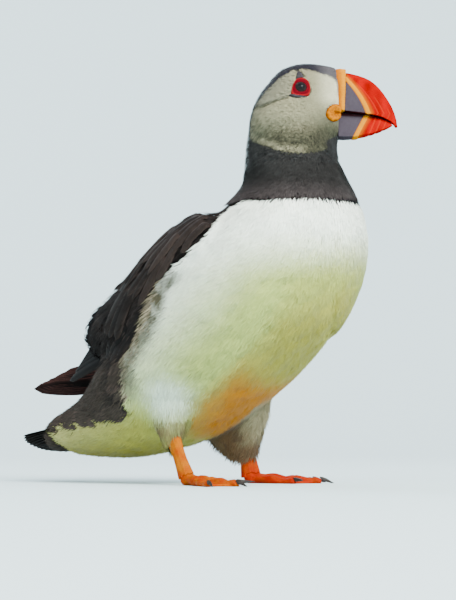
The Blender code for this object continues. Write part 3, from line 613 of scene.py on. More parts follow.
class Hide:
    """The skin read once: places, smooth normals and unwrap of any point on it."""

    def __init__(self, item):
        self.points = points_of(item)
        self.normals = normals_of(item)
        item.data.calc_loop_triangles()
        self.triangles = read(item.data.loop_triangles, "vertices", 3, np.int32)
        loops = read(item.data.loop_triangles, "loops", 3, np.int32)
        self.uv = read(item.data.uv_layers["OFBake"].data, "uv", 2)[loops]
        self.tree = BVHTree.FromPolygons([Vector(p) for p in self.points],
                                         [tuple(t) for t in self.triangles.tolist()])
        a, b, c = self.corners(slice(None))
        self.areas = np.linalg.norm(np.cross(b - a, c - a), axis=1) / 2
        self.centres = (a + b + c) / 3

    def corners(self, faces):
        """The three corners of some faces."""
        return [self.points[self.triangles[faces, k]] for k in range(3)]

    def mixed(self, faces, shares):
        """Places and normals within some faces, as shares of their corners."""
        corners = self.triangles[faces]
        places = np.einsum("nk,nkd->nd", shares, self.points[corners])
        normals = unit(np.einsum("nk,nkd->nd", shares, self.normals[corners]))
        return places, normals

    def roots(self, count, density, rng):
        """Places spread over the skin by area and density."""
        share = self.areas * np.maximum(density(self.centres), 0)
        edges = np.cumsum(share)
        picks = (np.arange(count) + rng.uniform(0, 1, count)) * edges[-1] / count
        faces = np.minimum(np.searchsorted(edges, picks), len(edges) - 1)
        r, s = np.sqrt(rng.uniform(size=count)), rng.uniform(size=count)
        shares = np.stack([1 - r, r * (1 - s), r * s], axis=1)
        places, normals = self.mixed(faces, shares)
        uv = np.einsum("nk,nkd->nd", shares, self.uv[faces])
        return places, normals, uv

    def nearest(self, points):
        """The skin's nearest places to some points, and the normals there."""
        found = [self.tree.find_nearest(Vector(p)) for p in points]
        places = np.array([f[0] for f in found])
        faces = np.array([f[2] for f in found])
        a, b, c = self.corners(faces)
        across = np.cross(b - a, c - a)
        size = np.maximum(np.sum(across * across, axis=1), 1e-12)
        w1 = np.sum(np.cross(places - a, c - a) * across, axis=1) / size
        w2 = np.sum(np.cross(b - a, places - a) * across, axis=1) / size
        shares = np.clip(np.stack([1 - w1 - w2, w1, w2], axis=1), 0, 1)
        return self.mixed(faces, shares / shares.sum(axis=1, keepdims=True))


# ---------------------------------------------------------------- the coat

PATCH = 0.003                     # size of each tuft's patch on the unwrap
OVERLAP = 0.35                    # how far the tips stand over the outline, on other feathers
TUFT_STEPS = 3
TUFT_RUN = np.linspace(0, 1, TUFT_STEPS + 1)
# From root to tip: height, width and spread of the strands, how far they stray, and their light:
# painted shade at the root rising to a painted highlight at the tip.
TUFT_RISE = np.array([0.02, 0.45, 0.85, 1])
TUFT_WIDTH = np.array([0.55, 1, 0.75, 0.06])
TUFT_SPREAD = np.array([0.35, 0.8, 1, 1])
TUFT_STRAY = np.array([0, 0.15, 0.5, 1])
TUFT_LIGHT = np.array([0, 0.6, 0.9, 1])
TIP_HIGHLIGHT = 1.04
FOLD_SIZE = 6.5                   # of the soft folds that feathers gather in


def spread_lines(hide, roots, normals, lengths, yaw, free, toward):
    """Lines that follow the lie over the skin: places, normals and ways at each step.

    `free` is how far they go straight on where the skin bends away; `toward` is a place that
    they all point at."""
    places, tops, ways = [roots], [normals], []
    for _ in range(TUFT_STEPS):
        way = lie(places[-1], tops[-1])
        if toward is not None:
            way = unit(np.array(toward) - places[-1])
        elif free:
            way = unit(way + (lie(places[0], tops[0]) - way) * free)
        side = np.cross(tops[-1], way)
        way = unit(way * np.cos(yaw)[:, None] + side * np.sin(yaw)[:, None])
        ways.append(way)
        ahead = places[-1] + way * (lengths / TUFT_STEPS)[:, None]
        place, top = hide.nearest(ahead)
        places.append(place + (ahead - place) * free)
        tops.append(unit(top + (tops[-1] - top) * free))
    ways.append(ways[-1])
    return np.stack(places, 1), np.stack(tops, 1), np.stack(ways, 1)


def strip_triangles(count):
    """Triangles of the strands, each a strip of two columns."""
    cells = np.array(grid_faces(TUFT_STEPS + 1, 2, closed=False, outward=False))
    starts = np.arange(count) * (TUFT_STEPS + 1) * 2
    return (cells[None] + starts[:, None, None]).reshape(-1, 3)


def write_uv(item, places):
    """The unwrap of the item, a place for each corner of its faces."""
    layer = item.data.uv_layers.new(name="OFBake")
    layer.data.foreach_set("uv", places.astype(np.float32).ravel())


def patch_uv(item, uv, across, along):
    """Each tuft's small patch of the unwrap, at its root's place."""
    places = np.repeat(uv, across.size // len(uv), axis=0)
    places = places + np.stack([across.ravel(), along.ravel()], axis=1) * PATCH
    corners = read(item.data.loops, "vertex_index", 1, np.int32).ravel()
    write_uv(item, np.clip(places[corners], 0, 1))


def clumped(roots, sides, strength):
    """How feathers gather in soft folds along the lie: height, and lean of the surface."""
    height = ripple(roots, FOLD_SIZE, 21)
    lean = ripple(roots + sides * 0.8, FOLD_SIZE, 21) - ripple(roots - sides * 0.8, FOLD_SIZE, 21)
    return 0.3 * strength * height, strength * lean


def strand_points(rng, lines, depth, folds, strands, length, width, fan, lift, wild):
    """Points and normals of the strands of every tuft, two to each step."""
    places, tops, ways = lines
    count = len(places)
    sides = unit(np.cross(tops, ways))
    swell, lean = clumped(places[:, 0], sides[:, 0], folds)
    # Where each strand lies across its feather, how long it is and how it strays.
    lane = np.linspace(-1, 1, strands)[None, :] + rng.normal(0, 0.12, (count, strands))
    reach = 1 - 0.3 * lane ** 2 + rng.uniform(-0.1, 0.1, (count, strands))
    loose = rng.normal(0, 1, (count, strands))
    stand = np.abs(rng.normal(0, 1, (count, strands))) * lift
    points = np.zeros((count, strands, TUFT_STEPS + 1, 2, 3))
    turned = np.zeros_like(points)
    spread = fan * TUFT_SPREAD
    drift = wild * length * TUFT_STRAY
    rows = np.arange(count)[:, None]
    for k in range(TUFT_STEPS + 1):
        at = np.minimum(TUFT_RUN[k] * reach, 1) * TUFT_STEPS
        low = np.minimum(at.astype(int), TUFT_STEPS - 1)
        part = (at - low)[..., None]
        base = places[rows, low] * (1 - part) + places[rows, low + 1] * part
        top = unit(tops[rows, low] * (1 - part) + tops[rows, low + 1] * part)
        side = sides[rows, low]
        sideways = lane * spread[k] + loose * drift[k] * 0.6
        height = (depth + swell[:, None]) * TUFT_RISE[k] + stand * TUFT_RUN[k] ** 1.5 + 0.08 * loose
        middle = base + side * sideways[..., None] + top * height[..., None]
        for j, half in enumerate((-0.5, 0.5)):
            points[:, :, k, j] = middle + side * (half * width * TUFT_WIDTH[k])
            turned[:, :, k, j] = top + side * (half * 0.6 - lean[:, None, None])
    return points, turned


def strand_colours(rng, places, strands, colour, tone, root_shade, streaks, ends):
    """Colours from root to tip: painted shade at the roots and a painted highlight at the tips, and
    each tuft and strand a little off the rest.
    """
    count = len(places)
    tints = colour(0.3 * places[:, 2] + 0.7 * places[:, 3])
    tones = tone * (np.ones(count) if streaks is None else streaks(places[:, 0]))
    tints = tints * (1 + tones * (rng.normal(size=count) + ripple(places[:, 0], 5, 22)))[:, None]
    # Painted shade at the roots rising to a painted highlight at the tips.
    shade = root_shade + (TIP_HIGHLIGHT - root_shade) * TUFT_LIGHT
    vary = 1 + tones[:, None, None, None] * rng.normal(size=(count, strands, 1, 1))
    colours = tints[:, None, None, None, :] * (vary * shade[None, None, :, None])[..., None]
    if ends is not None:
        worn = rng.uniform(0.2, 1, (count, 1, 1, 1, 1)) * (TUFT_RUN ** 1.6)[:, None, None]
        colours = colours + (ends - colours) * worn
    return colours


def make_tufts(name, hide, density, count, seed, length, width, strands, fan, lift, wild,
               turn=0, free=0, high=1, clump=0.3, tone=0.07, root_shade=0.72,
               colour=underside, ends=None, streaks=None, stays=None, toward=None):
    """A bed of soft feathers, each a small fan of tapering strands.

    `turn` swings them off the lie, up and to the rear; `ends` is the colour of worn tips,
    `streaks` how much stronger their differences of tone are from place to place, and `stays`
    tells which tips are where they may be; the others are shortened."""
    rng = np.random.default_rng(seed)
    roots, normals, uv = hide.roots(count, density, rng)
    lengths = length * rng.uniform(0.75, 1.2, count)
    yaw = rng.normal(0, wild, count) + turn * np.sign(roots[:, 0])
    lines = spread_lines(hide, roots, normals, lengths, yaw, free, toward)
    if stays is not None:
        lengths = np.where(stays(lines[0][:, -1]), lengths, 0.4 * lengths)
        lines = spread_lines(hide, roots, normals, lengths, yaw, free, toward)
    depth = high * (coat_depth(roots)[:, None] + OVERLAP)
    points, turned = strand_points(rng, lines, depth, clump, strands, length, width, fan, lift, wild)
    colours = strand_colours(rng, lines[0], strands, colour, tone, root_shade, streaks, ends)
    item = new_object(name, points.reshape(-1, 3), strip_triangles(count * strands),
                      turned.reshape(-1, 3))
    paint(item, np.broadcast_to(colours, points.shape).reshape(-1, 3))
    lanes = (np.arange(strands) / strands)[None, :, None, None] + np.array([0, 0.9 / strands])
    patch_uv(item, uv, np.broadcast_to(lanes, points.shape[:-1]),
             np.broadcast_to(TUFT_RUN[None, None, :, None], points.shape[:-1]))
    return item


# ---------------------------------------------------------------- quills: wing and tail

QUILL_STEPS = 18
QUILL_COLUMNS = 9
QUILL_RUN = np.linspace(0, 1, QUILL_STEPS + 1)
QUILL_LANES = np.linspace(-1, 1, QUILL_COLUMNS)
VANE = 0.12                       # half the thickness of the vane
SHAFT = 0.28                      # how much thicker the shaft is on each face
PATCHES = 8                       # feathers along one side of the unwrap


def between(a, b, t):
    """The place at share t of the way from a to b."""
    return np.array(a) * (1 - t) + np.array(b) * t


def free_line(root, bend, tip, look):
    """A curved line through the air, and the way the feather's face looks along it."""
    t = QUILL_RUN[:, None]
    ends = np.array(root) * (1 - t) ** 2, np.array(tip) * t ** 2
    middle = ends[0] + 2 * np.array(bend) * t * (1 - t) + ends[1]
    return middle, np.broadcast_to(unit(np.array(look)), middle.shape), None


def hugged(hide, points, heights, held):
    """Points moved to their heights over the skin as far as they are held, and the normals."""
    places, tops = hide.nearest(points)
    return points + (places + tops * heights[:, None] - points) * held[:, None], tops


def laid_line(hide, corners, low, high, loose):
    """A line past some corners, laid on the skin and rising towards its more or less loose tip."""
    t = QUILL_RUN * (len(corners) - 1)
    stops = range(len(corners))
    middle = np.stack([np.interp(t, stops, column) for column in np.array(corners).T], 1)
    rise = (low + 1 + (high - low) * QUILL_RUN ** 1.5) * smooth(0, 0.25, QUILL_RUN) - 1
    held = 1 - loose * smooth(0.55, 0.95, QUILL_RUN)
    middle, tops = hugged(hide, middle, rise, held)
    for _ in range(3):
        middle[1:-1] = 0.5 * middle[1:-1] + 0.25 * (middle[:-2] + middle[2:])
        tops[1:-1] = unit(0.5 * tops[1:-1] + 0.25 * (tops[:-2] + tops[2:]))
    return middle, tops, (rise, held)


def quill_shape(rng, middle, face, width, point):
    """One feather's sheet, the ways up from it, and how far the vane curves down at each point."""
    way = unit(np.gradient(middle, axis=0))
    side = unit(np.cross(face, way))
    top = unit(np.cross(way, side))
    grow = smooth(0, 0.25, QUILL_RUN) * 0.6 + 0.4
    rounded = np.sqrt(np.clip(1 - ((QUILL_RUN - 0.8) / 0.2).clip(0, 1) ** 2, 0, 1))
    pointed = np.sqrt((1 - QUILL_RUN ** 2.2).clip(0, 1))
    half = np.maximum(0.5 * width * grow * (rounded * (1 - point) + pointed * point), 0.05)
    worn = rng.normal(size=(QUILL_STEPS + 1, QUILL_COLUMNS)) * (0.3 + QUILL_RUN)[:, None]
    across = QUILL_LANES[None, :] * half[:, None] * (1 + 0.05 * worn)
    camber = -0.16 * half[:, None] * QUILL_LANES[None, :] ** 2
    sheet = middle[:, None] + side[:, None] * across[..., None] + top[:, None] * camber[..., None]
    return sheet, np.broadcast_to(top[:, None], sheet.shape), camber


def quill_faces():
    """Triangles of one feather: its skin all round, and a cap at each end."""
    wide = 2 * QUILL_COLUMNS
    faces = grid_faces(QUILL_STEPS + 1, wide, outward=False)
    last = QUILL_STEPS * wide
    for j in range(1, wide - 1):
        faces += [(0, j, j + 1), (last, last + j + 1, last + j)]
    return np.array(faces)


def make_quills(name, feathers, rim_colour, hide):
    """Long feathers with a shaft. Each is its middle line, the way its face looks along it, its
    heights over the skin and hold on it if it lies there, its width, the shape of its tip
    (0 rounded, 1 pointed) and its colour."""
    along = QUILL_RUN[:, None]
    ring = np.concatenate([QUILL_LANES, QUILL_LANES[::-1]])[None, :]
    rim = (np.abs(ring) ** 4 * 0.7 + (along ** 8) * 0.3).clip(0, 1)
    shaft = SHAFT * np.exp(-(QUILL_LANES / 0.1) ** 2)[None, :] * (1 - 0.8 * along)
    patch = np.stack(np.broadcast_arrays(np.linspace(0.04, 0.96, ring.size)[None, :],
                                         0.04 + 0.92 * along), axis=-1) / PATCHES
    all_points, all_colours, all_notes, all_uv = [], [], [], []
    rng = np.random.default_rng(len(name))
    for number, (middle, face, hold, width, point, colour) in enumerate(feathers):
        sheet, tops, camber = quill_shape(rng, middle, face, width, point)
        if hold is not None:
            rise, held = hold
            laid, tops = hugged(hide, sheet.reshape(-1, 3), (rise[:, None] + camber).ravel(),
                                np.repeat(held, QUILL_COLUMNS))
            sheet, tops = laid.reshape(sheet.shape), tops.reshape(sheet.shape)
        thick = tops * (shaft + VANE)[..., None]
        both = np.concatenate([sheet + thick, (sheet - thick)[:, ::-1]], axis=1)
        tint = colour * (1 + 0.12 * rng.normal())
        marks = np.zeros(both.shape)
        marks[..., 0] = ring
        marks[..., 1] = along * np.linalg.norm(middle[-1] - middle[0]) / 12
        marks[..., 2] = number * 3.7
        all_points.append(both.reshape(-1, 3))
        all_colours.append((tint + (rim_colour - tint) * rim[..., None]).reshape(-1, 3))
        all_notes.append(marks.reshape(-1, 3))
        cell = np.array([number % PATCHES, number // PATCHES]) / PATCHES
        all_uv.append((patch + cell).reshape(-1, 2))
    starts = np.arange(len(feathers)) * len(all_points[0])
    triangles = (quill_faces()[None] + starts[:, None, None]).reshape(-1, 3)
    item = new_object(name, np.concatenate(all_points), triangles)
    paint(item, np.concatenate(all_colours))
    note(item, "vane", np.concatenate(all_notes))
    write_uv(item, np.concatenate(all_uv)[triangles.ravel()])
    return item


# The seven primaries of each wing, from the longest and lowest to the shortest: roots, tips and
# how the tips crowd, bend and its change, the way they look, width and its change, shape of the
# tip, colour. The left ones are slid back, so that they show past the body as one blade.
RIGHT_PRIMARIES = (((-31, 44, 72), (-21, 48, 90)),
                   ((-17, 94.5, 56), (-18.5, 78, 74)), 0.75,
                   (-3, 0, 1), (1.5, 0, 0), (-1, 0.25, 0.35), 8, -1, 0.7, QUILL * 0.7)
LEFT_PRIMARIES = (((31, 58, 60), (26, 60, 76)),
                  ((-6.3, 130.5, 52), (-1, 119, 56.5)), 1,
                  (5, 0, -1.5), (-2, 0, 3), (0.85, 0.35, 0.45), 11, -1.5, 0.4, QUILL)


def primaries(roots, tips, crowd, bend, bend_change, look, width, width_change, point, colour):
    """Seven primaries stacked in the folded wing."""
    feathers = []
    for t in np.arange(7) / 6:
        root, tip = between(*roots, t), between(*tips, t ** crowd)
        bent = between(root, tip, 0.55) + (np.array(bend) + np.array(bend_change) * t)
        feathers.append((*free_line(root, bent, tip, look), width + width_change * t, point, colour))
    return feathers


# Rows of the folded wing, each laid over the last and ending in a step: the tips of the lowest
# and highest feather, their length, how many, how wide, how high they lie and how brown they are.
# The brown of the rows stands partly for wear and partly for a painted sheen.
WING_ROWS = (
    ((-38, 38, 64), (-17.5, 83, 75), 38, 11, 8.5, 2.6, 0.1),
    ((-42, 38, 77), (-17.5, 80, 90), 40, 11, 8.5, 3, 0.15),
    ((-46, 18, 93), (-16, 64.5, 108), 36, 12, 7, 3.4, 0.4),
    ((-45, 6, 105), (-13, 48.5, 123), 33, 12, 6.5, 3.5, 0.5),
    ((-44, -8, 118), (-14, 26, 132), 24, 12, 6, 3.2, 0.3),
)
WING_WAY = np.array([0, 0.76, -0.65])  # the way most of them point
LOW_WAY = np.array([0, 0.57, -0.82])   # and the lowest ones, along the edge of the white
LEFT_WING_SLIDE = np.array([1, 14, -11])


def wing_rows(hide, side):
    """Secondaries, tertials, coverts and scapulars of one wing."""
    slide = LEFT_WING_SLIDE if side > 0 else np.zeros(3)
    mirror = np.array([-side, 1, 1])
    rng = np.random.default_rng(61)
    feathers = []
    for low_tip, high_tip, length, count, width, height, brown in WING_ROWS:
        for k in range(count):
            t = k / (count - 1)
            tip = between(low_tip, high_tip, t) + WING_WAY * rng.uniform(-3, 1)
            way = between(LOW_WAY, WING_WAY, min(2 * t, 1))
            way = unit(way + np.array([0, 1, 1]) * rng.normal(0, 0.06))
            start = tip - way * length * rng.uniform(0.85, 1.15)
            corners = [corner * mirror + slide for corner in (start, between(start, tip, 0.5), tip)]
            high = height * (1.15 - 0.4 * t) + rng.uniform(-0.2, 0.5)
            loose = 0.8 * float(smooth(0.55, 0.9, t))
            # Brown: partly wear, partly a painted sheen.
            colour = between(QUILL, BROWN, brown * rng.uniform(0.3, 1))
            line = laid_line(hide, corners, 0.85 * high, high, loose)
            feathers.append((*line, width * rng.uniform(0.8, 1.15), rng.uniform(0.5, 0.95), colour))
    return feathers


TAIL_ROOT = np.array([0, 94, 30.5])
TAIL_COUNT = 12
TAIL_LENGTH = 35.8
TAIL_WIDTH = 9
TAIL_DROP = math.tan(math.radians(17))
TAIL_ROLL = math.tan(math.radians(5))
TAIL_NEAR_ROLL = math.tan(math.radians(15))
TAIL_SPREAD = math.radians(27)
TAIL_LEFT_LONGER = 7.5


def tail_feathers():
    """Twelve tail feathers in a fan, the middle pair uppermost."""
    middle = (TAIL_COUNT - 1) / 2
    feathers = []
    for k in range(TAIL_COUNT):
        across = (k - middle) / middle * 0.93
        turn = across * TAIL_SPREAD
        reach = TAIL_LENGTH + 4.8 * (1 - across * across) + TAIL_LEFT_LONGER * max(across, 0)
        layer = 0.9 * (1 - abs(across))
        spine = []
        for run in (-6, 0.5 * reach, reach):
            x = run * math.sin(turn) + across * 8.5 * (1 - 0.6 * max(run, 0) / reach)
            y = run * math.cos(turn)
            roll = TAIL_ROLL if x > 0 else TAIL_NEAR_ROLL
            z = -y * TAIL_DROP - x * roll + layer
            spine.append(TAIL_ROOT + np.array([x, y, z]))
        feathers.append((*free_line(*spine, (0.18, 0.2, 1)), TAIL_WIDTH, 0.15, QUILL))
    return feathers


# ---------------------------------------------------------------- materials

def shader_tree(name, roughness, specular, **settings):
    """A new material, its nodes and its shader."""
    made = bpy.data.materials.new(name)
    made.use_nodes = True
    tree = made.node_tree
    shader = tree.nodes["Principled BSDF"]
    shader.inputs["Roughness"].default_value = roughness
    shader.inputs["Specular IOR Level"].default_value = specular
    for socket, value in settings.items():
        shader.inputs[socket.replace("_", " ")].default_value = value
    return made, tree, shader


def add(tree, kind, **settings):
    """A new node, with its settings and the values of its inputs."""
    node = tree.nodes.new(kind)
    for key, value in settings.items():
        if hasattr(node, key):
            setattr(node, key, value)
        else:
            node.inputs[key.replace("_", " ")].default_value = value
    return node


def maths(tree, operation, source, *rest):
    """A sum on a value. Each further input is a number or an output."""
    node = add(tree, "ShaderNodeMath", operation=operation)
    tree.links.new(source, node.inputs[0])
    for k, value in enumerate(rest, 1):
        if isinstance(value, float):
            node.inputs[k].default_value = value
        else:
            tree.links.new(value, node.inputs[k])
    return node.outputs[0]


def ramp(tree, source, low, high, dark, light):
    """A value turned into a multiplying grey from dark to light."""
    node = add(tree, "ShaderNodeMapRange")
    for socket, value in zip(("From Min", "From Max", "To Min", "To Max"), (low, high, dark, light)):
        node.inputs[socket].default_value = value
    tree.links.new(source, node.inputs["Value"])
    return node.outputs["Result"]


def painted(tree):
    """The colours that paint() keeps on the mesh."""
    return add(tree, "ShaderNodeAttribute", attribute_name="markings").outputs["Color"]


def tinted(tree, shader, colour, *factors):
    """The colour multiplied by each factor, into the shader."""
    for factor in factors:
        mix = add(tree, "ShaderNodeVectorMath", operation="SCALE")
        tree.links.new(colour, mix.inputs[0])
        tree.links.new(factor, mix.inputs["Scale"])
        colour = mix.outputs[0]
    tree.links.new(colour, shader.inputs["Base Color"])


def bumped(tree, shader, height, strength, distance):
    """A height turned into relief; the distance is in millimetres."""
    bump = add(tree, "ShaderNodeBump", Strength=strength, Distance=distance * MM)
    tree.links.new(height, bump.inputs["Height"])
    tree.links.new(bump.outputs["Normal"], shader.inputs["Normal"])


def noise(tree, scale, detail=3, vector=None):
    """Noise over the item, or over a vector."""
    node = add(tree, "ShaderNodeTexNoise", Scale=scale, Detail=detail)
    if vector is None:
        vector = add(tree, "ShaderNodeTexCoord").outputs["Object"]
    tree.links.new(vector, node.inputs["Vector"])
    return node.outputs["Fac"]


def mottled(tree, scale, dark, light, detail=3):
    """Noise as a multiplying grey."""
    return ramp(tree, noise(tree, scale, detail), 0.3, 0.7, dark, light)


def plume_material(name, roughness=0.8, specular=0.12, sheen=0.06, mottle=0.08):
    """Soft feathers: the markings with fine and broad variation and a faint silky sheen."""
    made, tree, shader = shader_tree(name, roughness, specular, Sheen_Weight=sheen,
                                     Sheen_Roughness=0.5)
    broad = mottled(tree, 70, 1 - mottle, 1 + mottle * 0.6)
    fine = noise(tree, 900, 2)
    tinted(tree, shader, painted(tree), broad, ramp(tree, fine, 0.2, 0.8, 0.94, 1.05))
    bumped(tree, shader, fine, 0.3, 0.12)
    return made


def vane_material(name, roughness, specular, contrast):
    """Firm feathers: barbs run slantwise off the shaft and part here and there."""
    made, tree, shader = shader_tree(name, roughness, specular, Sheen_Weight=0.004)
    vane = add(tree, "ShaderNodeAttribute", attribute_name="vane").outputs["Vector"]
    split = add(tree, "ShaderNodeSeparateXYZ")
    tree.links.new(vane, split.inputs[0])
    away = maths(tree, "ABSOLUTE", split.outputs["X"])
    slant = maths(tree, "MULTIPLY_ADD", away, -0.22, split.outputs["Y"])
    joined = add(tree, "ShaderNodeCombineXYZ")
    for socket, value in (("X", maths(tree, "MULTIPLY", slant, 30.0)), ("Y", away),
                          ("Z", split.outputs["Z"])):
        tree.links.new(value, joined.inputs[socket])
    barbs = noise(tree, 1.4, 3, joined.outputs[0])
    parted = ramp(tree, barbs, 0.3, 0.7, 1 - contrast, 1 + contrast)
    tinted(tree, shader, painted(tree), mottled(tree, 90, 0.82, 1.15), parted)
    bumped(tree, shader, barbs, 0.4, 0.1)
    return made


def horn_material(name, roughness, scale, strength, specular):
    """Painted horn or bare skin: the markings, with pores and wrinkles."""
    made, tree, shader = shader_tree(name, roughness, specular)
    fine = noise(tree, scale, 4)
    tinted(tree, shader, painted(tree), mottled(tree, scale / 9, 0.9, 1.08, 2),
           ramp(tree, fine, 0.3, 0.7, 0.93, 1.05))
    bumped(tree, shader, fine, strength, 0.12)
    return made


def scale_material(name):
    """Leg skin: small plates with darker seams."""
    made, tree, shader = shader_tree(name, 0.5, 0.02)
    place = add(tree, "ShaderNodeTexCoord").outputs["Object"]
    cells = add(tree, "ShaderNodeTexVoronoi", feature="DISTANCE_TO_EDGE", Scale=1050)
    tree.links.new(place, cells.inputs["Vector"])
    seams = ramp(tree, cells.outputs["Distance"], 0, 0.16, 0.72, 1)
    tinted(tree, shader, painted(tree), seams, mottled(tree, 160, 0.86, 1.08))
    bumped(tree, shader, cells.outputs["Distance"], 0.6, 0.18)
    return made


def give(item, made, slot, *nodes):
    """A piece's material, a slot that is not used, its body and the nodes it stands for."""
    item.data.materials.clear()
    item.data.materials.append(made)
    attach(item, BODY)
    if nodes:
        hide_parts(*nodes)
    return item


# ---------------------------------------------------------------- bill, eyes and legs

RED = rgb(0.248, 0, 0)
# Painted highlight: paler red along one edge of each groove.
RED_HIGHLIGHT = rgb(0.352, 0.016, 0.0032)
YELLOW = rgb(0.448, 0.16, 0)
ORANGE = rgb(0.336, 0.084, 0)
GAPE = rgb(0.33, 0.1, 0)
GREY = rgb(0.044, 0.036, 0.0448)
# Painted shade along the mouth, between the mandibles.
MOUTH_SHADE_RED = rgb(0.056, 0.0048, 0.0064)
# Painted shade: the far leg is painted with the deeper two of these, a shaded copy of the near leg.
LEG_NEAR = rgb(0.37, 0.098, 0)
LEG_DEEP = rgb(0.31, 0.034, 0)
LEG_FAR_SHADED = rgb(0.29, 0.01, 0)
CLAW = rgb(0.0176, 0.0144, 0.0128)
RING = rgb(0.22, 0.004, 0.006)
RING_DEEP = rgb(0.085, 0.0005, 0.004)
PLATE = rgb(0.032, 0.0272, 0.0304)
PUPIL = rgb(0.002, 0.002, 0.003)
IRIS = rgb(0.004, 0.003, 0.003)
IRIS_RIM = rgb(0.01, 0.006, 0.005)

# Sizes of the faces of the finer copies.
BILL_FACES, TARSUS_FACES, FOOT_FACES, CLAW_FACES = 0.32, 0.36, 0.42, 0.22
# Grooves of the bill's red tip: how far before the yellow band, and the height where they end.
BILL_GROOVES = ((5, 4), (8, -3), (11.2, -9))
GROOVE_WIDTH = 0.42
MOUTH_HEIGHT = -11.6


def refined(node, size, passes, grow=0):
    """A copy of a node with small even faces, for detail."""
    return remeshed(grown_copy(node + "_fine", (node,), grow), size, passes)


def band_place(forward, up):
    """Millimetres in front of the bill's second yellow band, at each height."""
    above = 23.2 + 0.95 * (7.8 - up) - 0.0165 * (7.8 - up) ** 2
    below = 35 - 0.52 * (MOUTH_HEIGHT - up)
    return forward - np.where(up > MOUTH_HEIGHT, above, below)


def shape_bill(item, lip):
    """Grooves and the raised band, and the bill's colours. The mouth is on the upper side of
    the part if `lip` is 1 and on its lower side if it is -1."""
    points, normals = points_of(item), normals_of(item)
    forward, left, up = head_places(points).T
    place = band_place(forward, up)
    flank_of_bill = smooth(0.8, 2.2, np.abs(left))
    lines = np.zeros(len(points))
    pale = np.zeros(len(points))
    for at, top in BILL_GROOVES:
        slant = at - 0.1 * (up + 6)
        reach = smooth(top + 2, top - 2, up)
        lines += np.exp(-((place - slant) / GROOVE_WIDTH) ** 2) * reach
        # A painted highlight along one edge of each groove.
        pale += np.exp(-((place - slant + 0.2) / GROOVE_WIDTH) ** 2) * reach
    ridge = np.exp(-(place / 1.35) ** 4)
    edge = np.exp(-((place + 1.9) / 0.35) ** 2)
    push = 0.38 * ridge - 0.26 * lines * flank_of_bill - 0.12 * edge
    move_points(item, points + normals * push[:, None])
    colours = RED * (1 + 0.25 * ripple(points * np.array([1, 1, 0.4]), 6, 31))[:, None]
    colours = blend(colours, RED_HIGHLIGHT, (0.7 * pale * flank_of_bill).clip(0, 1))
    colours = blend(colours, ORANGE, 0.6 * smooth(4.2, 1.3, place))
    colours = blend(colours, YELLOW, smooth(0.35, 0.6, ridge))
    colours = blend(colours, GREY, smooth(-1.25, -1.6, place))
    # Painted shade: dark red along the line between the mandibles.
    gape = np.exp(-((up + 10.9 + 0.03 * forward) / 0.9) ** 2) * smooth(-1, -2, place)
    colours = blend(colours, MOUTH_SHADE_RED, 0.8 * gape * flank_of_bill)
    # Painted shade on the faces of the mandibles that look into the mouth.
    mouth = smooth(0.75, 0.95, normals[:, 2] * lip) * smooth(9, 5, np.abs(up + 12))
    paint(item, blend(colours, MOUTH_SHADE_RED * 0.4, mouth))


def paint_evenly(item, colour, other, size, seed):
    """Two colours in soft patches."""
    points = points_of(item)
    paint(item, blend(colour, other, (0.5 + 0.5 * ripple(points, size, seed)).clip(0, 1)))


def ray_side(hide, forward, up, side):
    """Places of the face seen square from one side, and the normals there."""
    ahead = np.minimum(forward, FACE_END - 0.9)
    inward = Vector(-side * HEAD_AXES[1])
    places, tops = [], []
    for a, b, shift in zip(ahead, up, forward - ahead):
        place, top, _, _ = hide.tree.ray_cast(Vector(from_head((a, side * 30, b))), inward)
        places.append(np.array(place) + HEAD_AXES[0] * shift)
        tops.append(np.array(top))
    return np.array(places), np.array(tops)


def face_sheet(hide, side):
    """The face round the eye as a smooth sheet over the socket: places and normals at any spot."""
    grids = np.meshgrid(np.linspace(-9, 11, 21), np.linspace(-9, 8, 18))
    forward, up = (grid.ravel() for grid in grids)
    clear = inside(LIDS, forward, up) < -1.2
    for plate in (UPPER_PLATE, LOWER_PLATE):
        clear &= inside(plate, forward, up) < -1
    forward, up = forward[clear], up[clear]
    places, _ = ray_side(hide, forward, up, side)
    terms = np.stack([np.ones(len(up)), forward, up, forward ** 2, forward * up, up ** 2], axis=1)
    fit = np.linalg.lstsq(terms, head_places(places)[:, 1], rcond=None)[0]

    def sheet(a, b):
        left = fit[0] + fit[1] * a + fit[2] * b + fit[3] * a * a + fit[4] * a * b + fit[5] * b * b
        slopes = np.stack([-fit[1] - 2 * fit[3] * a - fit[4] * b, np.ones(len(a)),
                           -fit[2] - fit[4] * a - 2 * fit[5] * b], axis=1)
        return from_head(np.stack([a, left, b], axis=1)), unit(slopes * side) @ HEAD_AXES

    return sheet


def turns_of(count, start=-math.pi):
    """Even turns of a full circle."""
    return np.linspace(start, start + 2 * math.pi, count, endpoint=False)


def outline_of(corners):
    """A closed, rounded outline through some corners, as seen from the side, and its turns."""
    line = np.array(corners)
    middle = line.mean(axis=0)
    size = np.ptp(line, axis=0) / 2
    across, over = ((line - middle) / size).T
    angle = np.arctan2(over, across)
    order = np.argsort(angle)
    turns = turns_of(OUTLINE_POINTS)
    radius = np.interp(turns, angle[order], np.hypot(across, over)[order], period=2 * math.pi)
    for _ in range(2):
        radius = 0.5 * radius + 0.25 * (np.roll(radius, 1) + np.roll(radius, -1))
    return middle + np.stack([np.cos(turns), np.sin(turns)], axis=1) * radius[:, None] * size, turns


def ring_mesh(name, rings, side):
    """A surface through closed rings of points, from the outermost to the innermost."""
    faces = grid_faces(len(rings), len(rings[0]), outward=side < 0)
    return new_object(name, np.concatenate(rings), np.array(faces))


